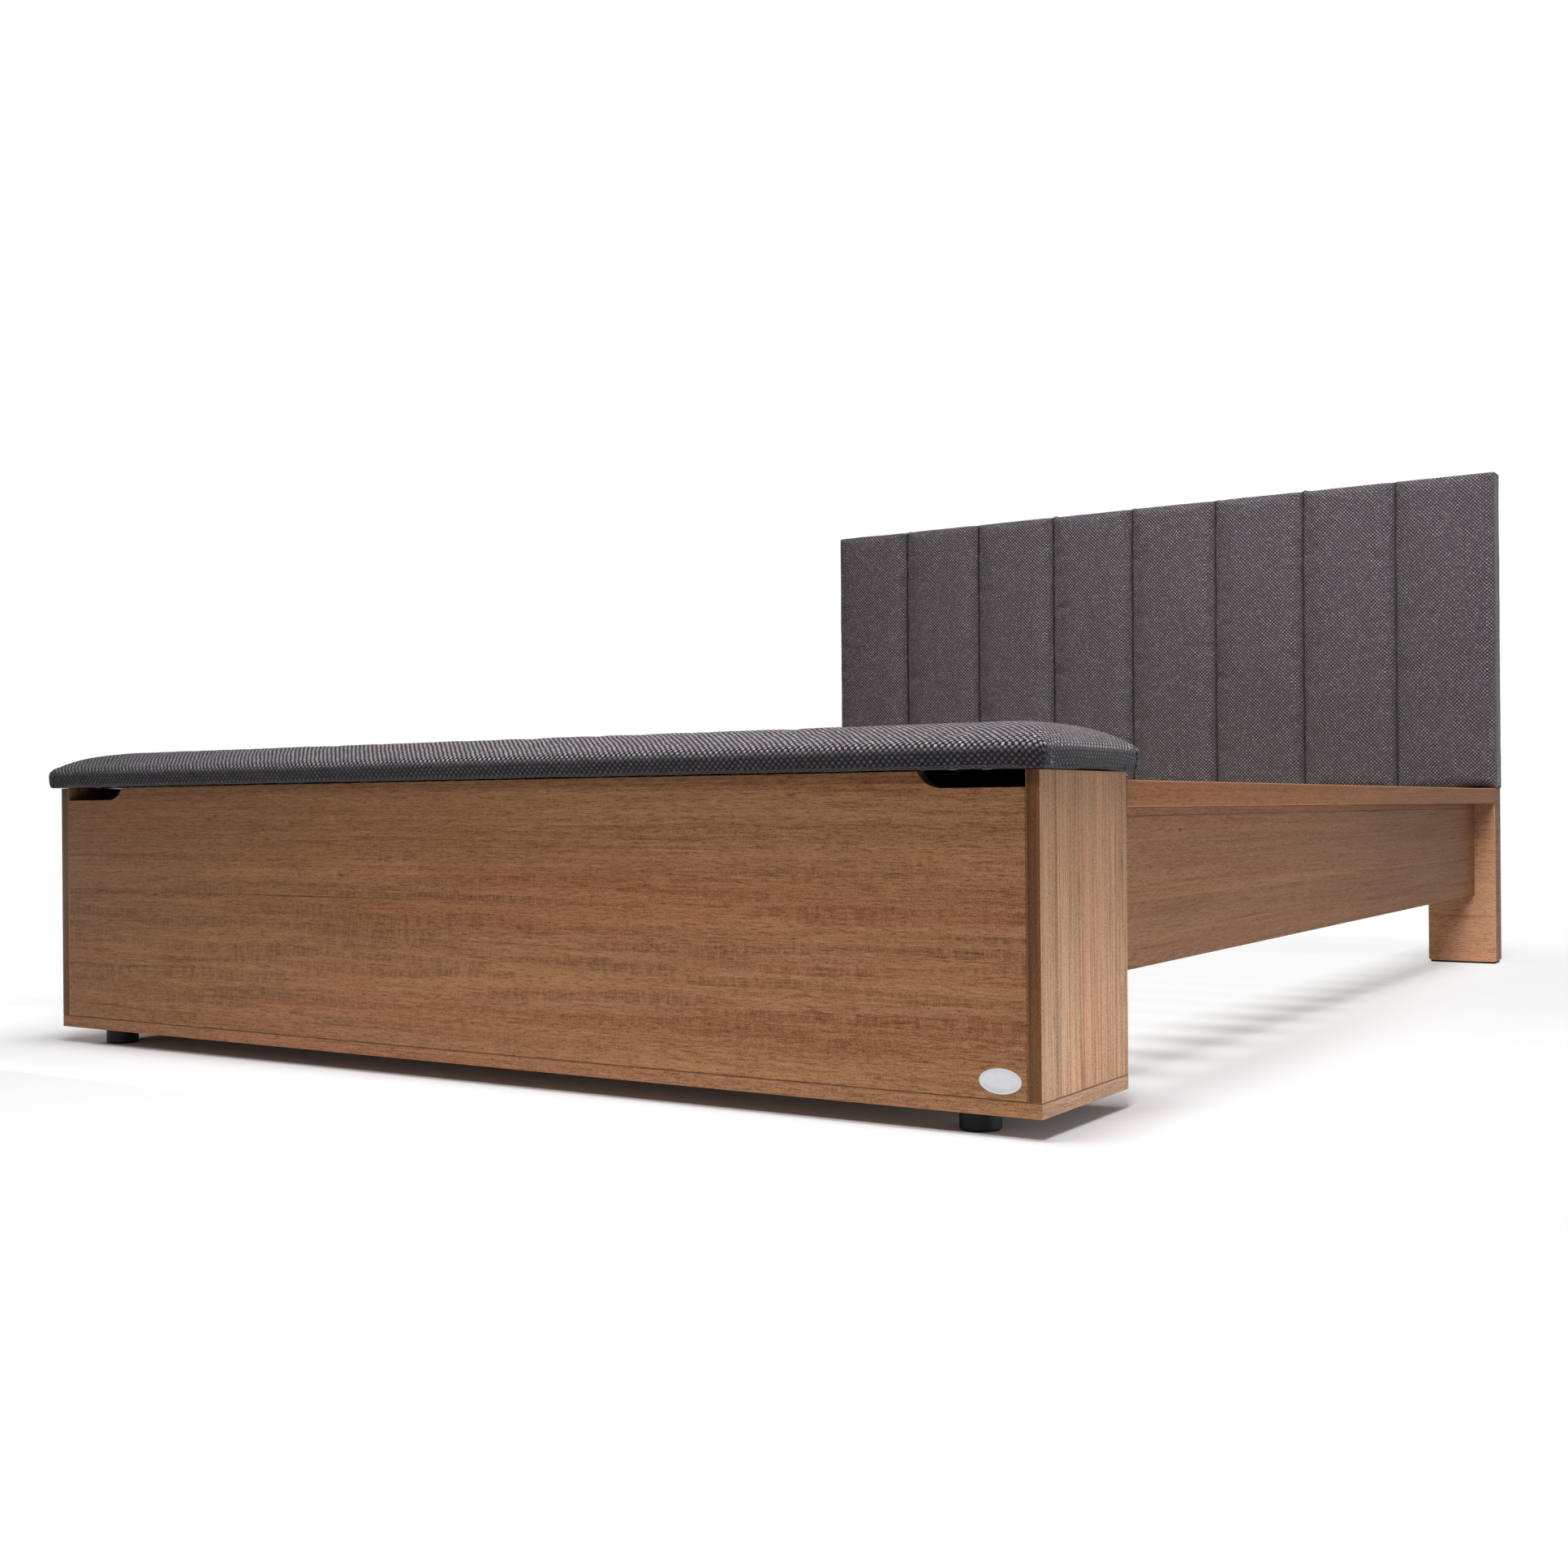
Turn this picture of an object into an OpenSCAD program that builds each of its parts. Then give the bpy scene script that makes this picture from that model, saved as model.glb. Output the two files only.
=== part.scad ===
// Double bed whose footboard is a blanket chest with a padded, hinged lid, and whose
// headboard is upholstered in upright channels.
//
// Millimetres. +Y runs from the foot to the head, +X to the right of someone who stands at
// the foot and looks at the bed, and +Z up. The origin is on the floor at the middle of the
// bed's outline, and left and right pieces mirror each other across X = 0.

/* [Bed] */
// Outside width of the chest, the rail caps and the headboard
bed_w = 1550; // [1450:10:1750]
// Clear length between the chest and the headboard
mattress_l = 2000; // [1900:10:2100]
// Thickness of the veneered boards
board_t = 16; // [15:1:22]

/* [Blanket chest] */
// Depth of the chest from its front face to its back face
chest_d = 225; // [200:5:320]
// Height of the chest's upper edges above the floor
chest_top = 368; // [364:1:400]
// Height of the plastic feet
foot_h = 22; // [15:1:40]
// Diameter of the plastic feet
foot_d = 44; // [30:1:60]
// Flat length of each finger notch, from the side panel inwards
notch_flat = 94; // [60:1:140]
// Depth of the finger notches below the chest's upper edge
notch_h = 18; // [12:1:28]
// Radius of the curve at the inner end of each finger notch
notch_r = 30; // [20:1:50]

/* [Lid] */
// How far the lid stands out past the chest's front face
lid_front_over = 14; // [10:1:25]
// How far the lid stands out past each side of the chest
lid_side_over = 12; // [10:0.5:20]
// How far the lid stands out past the chest's back face
lid_back_over = 6; // [4:1:8]
// Height of the lid's upright fabric border
border_h = 23; // [20:1:35]
// Rise of the cushion's crown above its border
crown_h = 24; // [10:1:40]
// Angle at which the lid is drawn, closed at 0
lid_angle = 0; // [0:1:95]

/* [Rails and slats] */
// Width of the flat cap on each side rail
cap_w = 70; // [60:1:90]
// Thickness of the caps
cap_t = 30; // [20:1:40]
// Height of the caps' upper faces above the floor
cap_top = 359; // [350:1:359]
// Distance from the bed's side to the outer face of the rail board
rail_inset = 41; // [30:1:50]
// Height of the rail boards' lower edges above the floor
rail_bottom = 141; // [100:1:160]
// Number of slats
slat_count = 14; // [10:1:20]
// Width of a slat
slat_w = 70; // [50:1:90]
// Height of the slats' upper faces above the floor
slat_top = 308; // [290:1:320]

/* [Headboard] */
// Height of the headboard above the floor
headboard_top = 1008; // [900:1:1200]
// Thickness of the headboard and its legs
headboard_t = 54; // [50:1:70]
// Width of each headboard leg
leg_w = 133; // [90:1:180]
// Height of the legs' upper ends, where the upholstery starts
leg_top = 360; // [360:1:420]
// How far the upholstery stands out past each leg's outer side
pad_over = 5; // [0:0.5:8]
// Number of upright channels in the upholstery
channel_count = 8; // [4:1:12]
// Depth of the sewn grooves between the channels
groove_d = 8; // [3:1:12]

/* [Hidden] */

// Colours of the materials
walnut = "#8a6247";
walnut_light = "#a87f62";
pine = "#d9bd8f";
raw_board = "#b79c78";
charcoal_weave = "#5b5658";
black_cloth = "#232323";
black_plastic = "#1c1c1e";
clear_rubber = "#cfd2cf";
zinc_steel = "#aeb1b4";

// Steel sheet of the brackets and plates, and the small gap that keeps pieces apart
plate_t = 2.5;
gap = 0.3;

// How far the sharp edges of the veneered boards and of the pine bars are taken off
board_ease = 0.8;
bar_ease = 1.5;

// Places along the bed, worked out from the middle of its outline
screw_head_h = 2;
bed_length = lid_front_over + chest_d + mattress_l + headboard_t + plate_t + screw_head_h;
lid_front_y = -bed_length / 2;
chest_front_y = lid_front_y + lid_front_over;
chest_back_y = chest_front_y + chest_d;
head_y = chest_back_y + mattress_l;
head_back_y = head_y + headboard_t;
half_w = bed_w / 2;

// Chest
foot_inset_x = 86;
foot_inset_y = 37;
foot_edge_r = 3;
chest_floor_z = foot_h + board_t;
chest_inner_x = half_w - board_t;

// Hinges: three in a row, each with five barrels, of which the lid's leaf has two.
// Each leaf lies nearly tangent to its barrels, as rolled hinge leaves do.
lid_bottom = chest_top + 2;
hinge_places = [-0.36 * bed_w, 0, 0.36 * bed_w];
leaf_l = 76;
leaf_t = 1.5;
leaf_reach = 25;
barrel_r = 3;
barrel_count = 5;
pin_r = 1.5;
pin_clearance = 0.05;
hinge_y = chest_back_y + barrel_r + gap;
hinge_z = lid_bottom - barrel_r - gap;
barrel_l = leaf_l / barrel_count;
bumper_d = 10;
bumper_inset_y = 30;

// Lid: a board in a pocket of the cushion, whose foam and cloth turn down round its edges
lid_half_x = half_w + lid_side_over;
lid_back_y = chest_back_y + lid_back_over;
lid_depth = lid_back_y - lid_front_y;
lid_middle_y = (lid_back_y + lid_front_y) / 2;
lid_skin = 9;
border_r = 7;
lid_corner_r = 6;
crown_reach = 80;
lid_draw_in = 2.5;

// Rails
cap_bottom = cap_top - cap_t;
cap_edge_r = 2;
cap_gap = 3;
rail_outer_x = half_w - rail_inset;
rail_inner_x = rail_outer_x - board_t;
ledge_w = 22;
ledge_h = 32;
ledge_end_gap = 20;
slat_t = 14;
slat_edge_r = 3;
slat_half_l = rail_inner_x - 4;
slat_first_y = chest_back_y + 62;
slat_last_y = head_y - 62;
ledge_top = slat_top - slat_t;
bracket_arm = 60;
bracket_h = 80;
bracket_z = 165;
bolt_head_r = 7;
bolt_head_h = 4;
bolt_shank_r = 3;
bolt_shank_l = 12;

// Middle beam and its legs
beam_w = 60;
beam_h = 40;
beam_leg = 45;
beam_leg_places = [0.35, 0.7];
socket_depth = 40;
socket_wall_h = 32;
glide_h = 4;

// Headboard
leg_edge_r = 2;
leg_foot_r = 6;
cross_rail_bottom = 200;
pad_half_x = half_w + pad_over;
pad_skin = 5;
pad_edge_r = 9;
channel_swell = 2.5;
face_swell = 1.5;
face_draw_in = 1.5;
groove_shoulder = 26;
foam_t = 20;
core_t = 16;
cover_t = 2;
batten_w = 60;
core_y = head_y + foam_t;
frame_y = core_y + core_t;
cover_y = head_back_y - cover_t;
core_half_x = half_w - pad_skin;
core_bottom = leg_top + pad_skin;
core_top = headboard_top - pad_skin;
joint_plate_w = 50;
joint_plate_h = 140;
joint_plate_x = half_w - leg_w / 2;
plate_screw_pitch = 35;
screw_head_r = 5;
screw_shank_r = 2.5;
screw_shank_l = 14;

$fn = 48;

// ---- Shared shapes ----

// A block between two opposite corners
module block(from, to) {
    translate(from) cube(to - from);
}

// A w by h rectangle about the origin, its corners cut off at 45 degrees by e along each side
module eased_rectangle(w, h, e) {
    polygon([for (s = [[1, 1], [-1, 1], [-1, -1], [1, -1]])
        let (along_h = [s.x * w / 2, s.y * (h / 2 - e)], along_w = [s.x * (w / 2 - e), s.y * h / 2])
        each s.x * s.y > 0 ? [along_h, along_w] : [along_w, along_h]]);
}

// A board between two opposite corners, with all of its edges eased by e
module eased_board(from, to, e = board_ease) {
    size = to - from;
    translate((from + to) / 2) intersection() {
        linear_extrude(size.z, center = true) eased_rectangle(size.x, size.y, e);
        rotate([90, 0, 0]) linear_extrude(size.y, center = true)
            eased_rectangle(size.x, size.z, e);
        rotate([90, 0, 90]) linear_extrude(size.x, center = true)
            eased_rectangle(size.y, size.z, e);
    }
}

// Children as drawn for side 1, the right, or mirrored for side -1, the left
module on_side(side) {
    mirror([side > 0 ? 0 : 1, 0, 0]) children();
}

// A w by h rectangle about the origin, its corners rounded to radius r
module rounded_rectangle(w, h, r) {
    square([w - 2 * r, h], center = true);
    square([w, h - 2 * r], center = true);
    for (x = [-1, 1], y = [-1, 1])
        translate([x * (w / 2 - r), y * (h / 2 - r)]) circle(r = r);
}

// A bar along Y from y0 to y1, of a rounded w by h section about X = 0, Z = 0
module bar_along_y(y0, y1, w, h, r) {
    translate([0, y1, 0]) rotate([90, 0, 0]) linear_extrude(y1 - y0) rounded_rectangle(w, h, r);
}

// A round foot, standing on z = 0, its lower edge rounded
module round_foot(d, h, edge_r) {
    rotate_extrude() {
        square([d / 2 - edge_r, h]);
        translate([0, edge_r]) square([d / 2, h - edge_r]);
        translate([d / 2 - edge_r, edge_r]) circle(r = edge_r);
    }
}

// A bolt with a domed head along +Z, the head's underside at z = 0
module domed_bolt(head_r, head_h, shank_r, shank_l) {
    dome_r = (head_r * head_r + head_h * head_h) / (2 * head_h);
    rotate_extrude() intersection() {
        translate([0, head_h - dome_r]) circle(r = dome_r);
        square([head_r, head_h]);
    }
    translate([0, 0, -shank_l]) cylinder(r = shank_r, h = shank_l);
}

// Hole of radius r through a plate whose face is at z = 0
module through_hole(r) {
    translate([0, 0, -plate_t - 1]) cylinder(r = r, h = plate_t + 2);
}

// How far a rounded edge of radius r has fallen at distance e from the border
function edge_fall(e, r) = e >= r ? 0 : r - sqrt(r * r - pow(r - e, 2));

// Rise of a stretched cover from 0 at its border to 1 at the distance reach
function arch(e, reach) = 1 - pow(1 - min(e / reach, 1), 2.2);

// A point of a rectangle with half sides (hx, hy), moved so that the corners turn in radius r
function round_corner(x, y, hx, hy, r) =
    let (dx = abs(x) - (hx - r), dy = abs(y) - (hy - r))
    dx <= 0 || dy <= 0 ? [x, y] :
    let (k = max(dx, dy) / norm([dx, dy]))
    [sign(x) * (hx - r + dx * k), sign(y) * (hy - r + dy * k)];

// A closed padded solid: grid holds the points of its upper side, column by column along X,
// each column along Y, and the outermost points drop straight to the flat base at z = 0
module padded_solid(grid) {
    nx = len(grid);
    ny = len(grid[0]);
    rim = concat(
        [for (i = [0 : nx - 1]) i * ny],
        [for (j = [1 : ny - 1]) (nx - 1) * ny + j],
        [for (i = [nx - 2 : -1 : 0]) i * ny + ny - 1],
        [for (j = [ny - 2 : -1 : 1]) j]);
    cover = [for (column = grid) for (p = column) p];
    rim_count = len(rim);
    first = len(cover);
    base = [for (k = rim) [cover[k].x, cover[k].y, 0]];
    middle = first + rim_count;
    cover_faces = [for (i = [0 : nx - 2]) for (j = [0 : ny - 2])
        let (a = i * ny + j, b = a + 1, c = a + ny + 1, d = a + ny)
        each [[a, b, c], [a, c, d]]];
    side_faces = [for (k = [0 : rim_count - 1])
        let (n = (k + 1) % rim_count)
        each [[rim[k], rim[n], first + n], [rim[k], first + n, first + k]]];
    base_faces = [for (k = [0 : rim_count - 1]) [middle, first + k, first + (k + 1) % rim_count]];
    polyhedron(concat(cover, base, [[0, 0, 0]]), concat(cover_faces, side_faces, base_faces));
}

// ---- Blanket chest ----

module chest_bottom_panel() {
    color(walnut)
    eased_board([-half_w, chest_front_y, foot_h], [half_w, chest_back_y, chest_floor_z]);
}

module chest_side(side) {
    color(walnut_light)
    on_side(side)
    eased_board([chest_inner_x, chest_front_y, chest_floor_z], [half_w, chest_back_y, chest_top]);
}

// Cut-out of one finger notch in the front panel's own plane: it runs inwards from the
// side panel and ends in a curve that starts tangent to the notch's floor
module notch_outline() {
    translate([chest_inner_x - notch_flat, chest_top - notch_h])
        square([notch_flat + 1, notch_h + 1]);
    translate([chest_inner_x - notch_flat, chest_top - notch_h + notch_r]) circle(r = notch_r);
}

module chest_front_panel() {
    color(walnut)
    difference() {
        eased_board([-chest_inner_x, chest_front_y, chest_floor_z],
            [chest_inner_x, chest_front_y + board_t, chest_top]);
        for (side = [-1, 1]) on_side(side)
            translate([0, chest_front_y + board_t + 1, 0]) rotate([90, 0, 0])
            linear_extrude(board_t + 2) notch_outline();
    }
}

module chest_back_panel() {
    color(walnut)
    eased_board([-chest_inner_x, chest_back_y - board_t, chest_floor_z],
        [chest_inner_x, chest_back_y, chest_top]);
}

module chest_feet() {
    color(black_plastic)
    for (x = [-1, 1], y = [chest_front_y + foot_inset_y, chest_back_y - foot_inset_y])
        translate([x * (half_w - foot_inset_x), y, 0]) round_foot(foot_d, foot_h, foot_edge_r);
}

// Pads on the side panels' upper edges that the closed lid comes down on
module lid_bumpers() {
    color(clear_rubber)
    for (x = [-1, 1], y = [chest_front_y + bumper_inset_y, chest_back_y - bumper_inset_y])
        translate([x * (half_w - board_t / 2), y, chest_top])
            cylinder(d = bumper_d, h = lid_bottom - chest_top - gap);
}

// ---- Hinges ----

// One barrel of a hinge, number k of the row, bored for the pin
module barrel(k, bore_r) {
    translate([-leaf_l / 2 + k * barrel_l + gap / 2, hinge_y, hinge_z]) rotate([0, 90, 0])
    difference() {
        cylinder(r = barrel_r, h = barrel_l - gap);
        translate([0, 0, -1]) cylinder(r = bore_r, h = barrel_l + 2);
    }
}

// The strip that joins barrel k to its leaf, between two corners given as [y, z]
module barrel_strip(k, from, to) {
    x = -leaf_l / 2 + k * barrel_l + gap / 2;
    block([x, from.x, from.y], [x + barrel_l - gap, to.x, to.y]);
}

// Leaf on the back face of the chest, with barrels 0, 2 and 4
module hinge_fixed_leaves() {
    plate_top = hinge_z - barrel_r - 2 * gap;
    color(zinc_steel)
    for (x = hinge_places) translate([x, 0, 0]) {
        block([-leaf_l / 2, chest_back_y, plate_top - leaf_reach],
            [leaf_l / 2, chest_back_y + leaf_t, plate_top]);
        for (k = [0 : 2 : barrel_count - 1]) {
            barrel(k, pin_r);
            barrel_strip(k, [chest_back_y, plate_top], [chest_back_y + leaf_t, hinge_z]);
        }
    }
}

module hinge_pins() {
    color(zinc_steel)
    for (x = hinge_places)
        translate([x - leaf_l / 2 - 1, hinge_y, hinge_z]) rotate([0, 90, 0])
            cylinder(r = pin_r, h = leaf_l + 2);
}

// Children turned with the lid about the hinge pins
module with_lid() {
    translate([0, hinge_y, hinge_z]) rotate([-lid_angle, 0, 0])
        translate([0, -hinge_y, -hinge_z]) children();
}

// Leaf under the lid, with barrels 1 and 3
module hinge_lid_leaves() {
    plate_end = chest_back_y - 2 * gap;
    bore_r = pin_r + pin_clearance;
    color(zinc_steel)
    with_lid() for (x = hinge_places) translate([x, 0, 0]) {
        block([-leaf_l / 2, plate_end - leaf_reach, lid_bottom - leaf_t],
            [leaf_l / 2, plate_end, lid_bottom]);
        for (k = [1 : 2 : barrel_count - 1]) {
            barrel(k, bore_r);
            barrel_strip(k, [plate_end, lid_bottom - leaf_t], [hinge_y, lid_bottom]);
        }
    }
}

// ---- Lid ----

module lid_board_block(below) {
    block([-lid_half_x + lid_skin, lid_front_y + lid_skin, lid_bottom - below],
        [lid_half_x - lid_skin, lid_back_y - lid_skin, lid_bottom + board_t]);
}

module lid_board() {
    color(raw_board) with_lid() lid_board_block(0);
}

// Height of the cushion above the lid's underside, at (x, y) from the lid's middle
function cushion_height(x, y) =
    let (ex = lid_half_x - abs(x), ey = lid_depth / 2 - abs(y))
    border_h + crown_h * arch(ex, crown_reach) * arch(ey, lid_depth / 2)
        - edge_fall(min(ex, ey), border_r);

// Sides drawn in between the corners of radius r, by the depth d in the middle of each side
function drawn_in(p, hx, hy, r, d) =
    let (to_corner_x = min(1, abs(p.x) / (hx - r)), to_corner_y = min(1, abs(p.y) / (hy - r)))
    [p.x * (1 - d / hx * (1 - pow(to_corner_y, 4))),
     p.y * (1 - d / hy * (1 - pow(to_corner_x, 4)))];

// The lid's cushion: a low upright border, a ridge along its top and a crown that rises
// steadily to the middle of the depth and levels off a hand's width from each end
module lid_cushion() {
    edge_steps = [0, 0.7, 2.4, 4.6, 7, 11];
    hy = lid_depth / 2;
    half_xs = concat(edge_steps, [18, 28, 42, 60, 82, 108, 160, 320, 500, 660]);
    half_ys = concat(edge_steps, [20, 34, 52, 74, 98]);
    xs = concat([for (e = half_xs) e - lid_half_x], [0],
        [for (k = [len(half_xs) - 1 : -1 : 0]) lid_half_x - half_xs[k]]);
    ys = concat([for (e = half_ys) e - hy], [0],
        [for (k = [len(half_ys) - 1 : -1 : 0]) hy - half_ys[k]]);
    color(charcoal_weave)
    with_lid() difference() {
        translate([0, lid_middle_y, lid_bottom])
        padded_solid([for (x = xs) [for (y = ys)
            let (q = round_corner(x, y, lid_half_x, hy, lid_corner_r),
                 p = drawn_in(q, lid_half_x, hy, lid_corner_r, lid_draw_in))
            [p.x, p.y, cushion_height(x, y)]]]);
        lid_board_block(1);
    }
}

// ---- Side rails and slats ----

module rail_board(side) {
    color(walnut)
    on_side(side)
    eased_board([rail_inner_x, chest_back_y, rail_bottom], [rail_outer_x, head_y, cap_bottom]);
}

// Flat cap with its long edges rounded and the edges of its ends eased
module rail_cap(side) {
    color(walnut)
    on_side(side) intersection() {
        translate([half_w - cap_w / 2, 0, cap_top - cap_t / 2])
            bar_along_y(chest_back_y + cap_gap, head_y, cap_w, cap_t, cap_edge_r);
        eased_board([half_w - cap_w, chest_back_y + cap_gap, cap_bottom], [half_w, head_y, cap_top]);
    }
}

module slat_ledge(side) {
    color(pine)
    on_side(side)
    eased_board([rail_inner_x - ledge_w, chest_back_y + ledge_end_gap, ledge_top - ledge_h],
        [rail_inner_x, head_y - ledge_end_gap, ledge_top], bar_ease);
}

// Section of a bracket bent from plate, its outer corner at the origin
module bent_section(arm, t, bend_r) {
    translate([bend_r, 0]) square([arm - bend_r, t]);
    translate([0, bend_r]) square([t, arm - bend_r]);
    translate([bend_r, bend_r]) difference() {
        intersection() {
            circle(r = bend_r);
            translate([-bend_r, -bend_r]) square(bend_r);
        }
        circle(r = bend_r - t);
    }
}

// Children as drawn for the right rail's joint with the chest, at all four rail joints
module at_rail_joints() {
    for (side = [-1, 1]) on_side(side) {
        translate([rail_inner_x, chest_back_y, bracket_z]) children();
        translate([rail_inner_x, head_y, bracket_z]) mirror([0, 1, 0]) children();
    }
}

// Children at the two bolts of each arm of a bracket, +Z pointing out of the arm's face
module at_bracket_bolts() {
    for (z = [bracket_h / 4, bracket_h * 3 / 4]) {
        translate([-plate_t, bracket_arm * 0.6, z]) rotate([0, -90, 0]) children();
        translate([-bracket_arm * 0.6, plate_t, z]) rotate([-90, 0, 0]) children();
    }
}

module rail_brackets() {
    color(zinc_steel)
    at_rail_joints() difference() {
        mirror([1, 0, 0])
            linear_extrude(bracket_h) bent_section(bracket_arm, plate_t, 2 * plate_t);
        at_bracket_bolts() through_hole(bolt_shank_r);
    }
}

// The bolts bite into the boards behind the brackets
module bracket_bolts() {
    color(zinc_steel)
    at_rail_joints() at_bracket_bolts()
        domed_bolt(bolt_head_r, bolt_head_h, bolt_shank_r, bolt_shank_l);
}

module centre_beam() {
    color(pine)
    eased_board([-beam_w / 2, chest_back_y + plate_t + gap, ledge_top - beam_h],
        [beam_w / 2, head_y - plate_t - gap, ledge_top], bar_ease);
}

// A folded steel cup that holds one end of the beam
module beam_socket() {
    wall_x = beam_w / 2 + gap;
    floor_z = ledge_top - beam_h;
    difference() {
        block([-wall_x - plate_t, 0, floor_z - plate_t],
            [wall_x + plate_t, socket_depth, floor_z + socket_wall_h]);
        block([-wall_x, plate_t, floor_z], [wall_x, socket_depth + 1, ledge_top]);
    }
}

module beam_brackets() {
    color(zinc_steel) {
        translate([0, chest_back_y, 0]) beam_socket();
        translate([0, head_y, 0]) mirror([0, 1, 0]) beam_socket();
    }
}

// Children at the places of the beam's legs
module at_beam_legs() {
    for (part = beam_leg_places) translate([0, chest_back_y + part * mattress_l, 0]) children();
}

module centre_legs() {
    color(pine)
    at_beam_legs() translate([0, 0, glide_h])
        linear_extrude(ledge_top - beam_h - glide_h) rounded_rectangle(beam_leg, beam_leg, 4);
}

module centre_leg_glides() {
    color(black_plastic)
    at_beam_legs() round_foot(beam_leg - 7, glide_h, 1);
}

module slats() {
    pitch = (slat_last_y - slat_first_y) / (slat_count - 1);
    color(pine)
    for (k = [0 : slat_count - 1])
        translate([-slat_half_l, slat_first_y + k * pitch, slat_top - slat_t / 2])
        rotate([90, 0, 90])
        linear_extrude(2 * slat_half_l) rounded_rectangle(slat_w, slat_t, slat_edge_r);
}

// ---- Headboard ----

// Leg seen from the front, its two lower corners rounded
module leg_face() {
    height = leg_top - glide_h;
    translate([0, height / 2]) rounded_rectangle(leg_w, height, leg_foot_r);
    translate([-leg_w / 2, leg_foot_r + 1]) square([leg_w, height - leg_foot_r - 1]);
}

module headboard_leg(side) {
    color(walnut)
    on_side(side)
    translate([half_w - leg_w / 2, head_y + headboard_t / 2, glide_h])
    intersection() {
        translate([0, headboard_t / 2, 0]) rotate([90, 0, 0])
            linear_extrude(headboard_t) leg_face();
        linear_extrude(leg_top) rounded_rectangle(leg_w, headboard_t, leg_edge_r);
    }
}

module headboard_glides() {
    color(black_plastic)
    for (side = [-1, 1])
        translate([side * (half_w - leg_w / 2), head_y + headboard_t / 2, 0])
            linear_extrude(glide_h) rounded_rectangle(leg_w - 6, headboard_t - 6, 4);
}

module headboard_cross_rail() {
    color(walnut)
    eased_board([-half_w + leg_w, head_y, cross_rail_bottom],
        [half_w - leg_w, head_y + board_t, leg_top]);
}

module headboard_board() {
    color(raw_board)
    block([-core_half_x, core_y, core_bottom], [core_half_x, frame_y, core_top]);
}

// Battens behind the board: one all round the edge and two uprights between
module headboard_frame() {
    bay = (2 * core_half_x - batten_w) / 3;
    color(pine) {
        for (z = [core_bottom, core_top - batten_w])
            block([-core_half_x, frame_y, z], [core_half_x, cover_y, z + batten_w]);
        for (k = [0 : 3])
            translate([-core_half_x + k * bay, 0, 0])
            block([0, frame_y, core_bottom + batten_w], [batten_w, cover_y, core_top - batten_w]);
    }
}

module headboard_back_cover() {
    color(black_cloth)
    block([-core_half_x, cover_y, core_bottom], [core_half_x, head_back_y, core_top]);
}

// Nearness to a sewn groove: 1 in the groove, 0 beyond the width of its shoulder
function groove_pull(x, shoulder) =
    let (pitch = 2 * pad_half_x / channel_count,
         k = round((x + pad_half_x) / pitch),
         d = abs(x + pad_half_x - k * pitch))
    k < 1 || k > channel_count - 1 || d >= shoulder ? 0 : pow(1 - d / shoulder, 2);

// Height of the padding at (x, y) of the headboard's face, y upwards from its lower edge:
// each channel swells a little from seam to seam, and the whole face a little from edge to edge
function padding_height(x, y, face_h) =
    let (e = min(pad_half_x - abs(x), y, face_h - y),
         across = (x / pad_half_x + 1) * channel_count / 2,
         off_middle = 2 * (across - floor(min(across, channel_count - 0.001))) - 1,
         off_centre = 2 * y / face_h - 1)
    headboard_t - channel_swell * pow(off_middle, 2) - face_swell * pow(off_centre, 2)
        - groove_d * groove_pull(x, groove_shoulder) - edge_fall(e, pad_edge_r);

// Foam and cloth over the front and round the edges of the headboard, in one piece sewn
// into upright channels: each seam pulls a groove down the face and a dimple in the top edge
module headboard_upholstery() {
    face_h = headboard_top - leg_top;
    pad_w = 2 * pad_half_x;
    pitch = pad_w / channel_count;
    steps = [for (part = [0, 0.1, 0.3, 0.6, 1, 2.2]) part * pad_edge_r];
    seam_steps = [0, 4, 12, groove_shoulder];
    seam_xs = [for (k = [1 : channel_count - 1])
        each concat([for (s = [len(seam_steps) - 1 : -1 : 1]) k * pitch - seam_steps[s]],
            [for (s = seam_steps) k * pitch + s], k < channel_count - 1 ? [(k + 0.5) * pitch] : [])];
    xs = concat(steps, [pitch / 2], seam_xs, [pad_w - pitch / 2],
        [for (k = [len(steps) - 1 : -1 : 0]) pad_w - steps[k]]);
    ys = concat(steps, [face_h / 2], [for (k = [len(steps) - 1 : -1 : 0]) face_h - steps[k]]);
    top_dimple = 4;
    color(charcoal_weave)
    difference() {
        translate([0, head_back_y, leg_top + face_h / 2]) rotate([90, 0, 0])
        padded_solid([for (x = xs) [for (y = ys)
            let (dimple = top_dimple * groove_pull(x - pad_half_x, 20) * pow(y / face_h, 8),
                 p = drawn_in([x - pad_half_x, y - face_h / 2], pad_half_x, face_h / 2, 0,
                     face_draw_in))
            [p.x, p.y - dimple, padding_height(x - pad_half_x, y, face_h)]]]);
        block([-core_half_x, core_y, core_bottom], [core_half_x, head_back_y + 1, core_top]);
    }
}

// Children at the back of each leg's upper end, +Z pointing away from the wood
module at_plates() {
    for (side = [-1, 1])
        translate([side * joint_plate_x, head_back_y + plate_t, leg_top])
        rotate([-90, 0, 0]) children();
}

// Children at the four screws of a plate, two in the leg and two in the frame above it
module at_plate_screws() {
    for (row = [-1.5, -0.5, 0.5, 1.5]) translate([0, row * plate_screw_pitch, 0]) children();
}

// Steel plates behind the headboard that join its upholstered part to the legs
module joining_plates() {
    color(zinc_steel)
    at_plates() difference() {
        translate([0, 0, -plate_t]) linear_extrude(plate_t)
            rounded_rectangle(joint_plate_w, joint_plate_h, 5);
        at_plate_screws() through_hole(screw_shank_r);
    }
}

module plate_screws() {
    color(zinc_steel)
    at_plates() at_plate_screws()
        domed_bolt(screw_head_r, screw_head_h, screw_shank_r, screw_shank_l);
}

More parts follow.
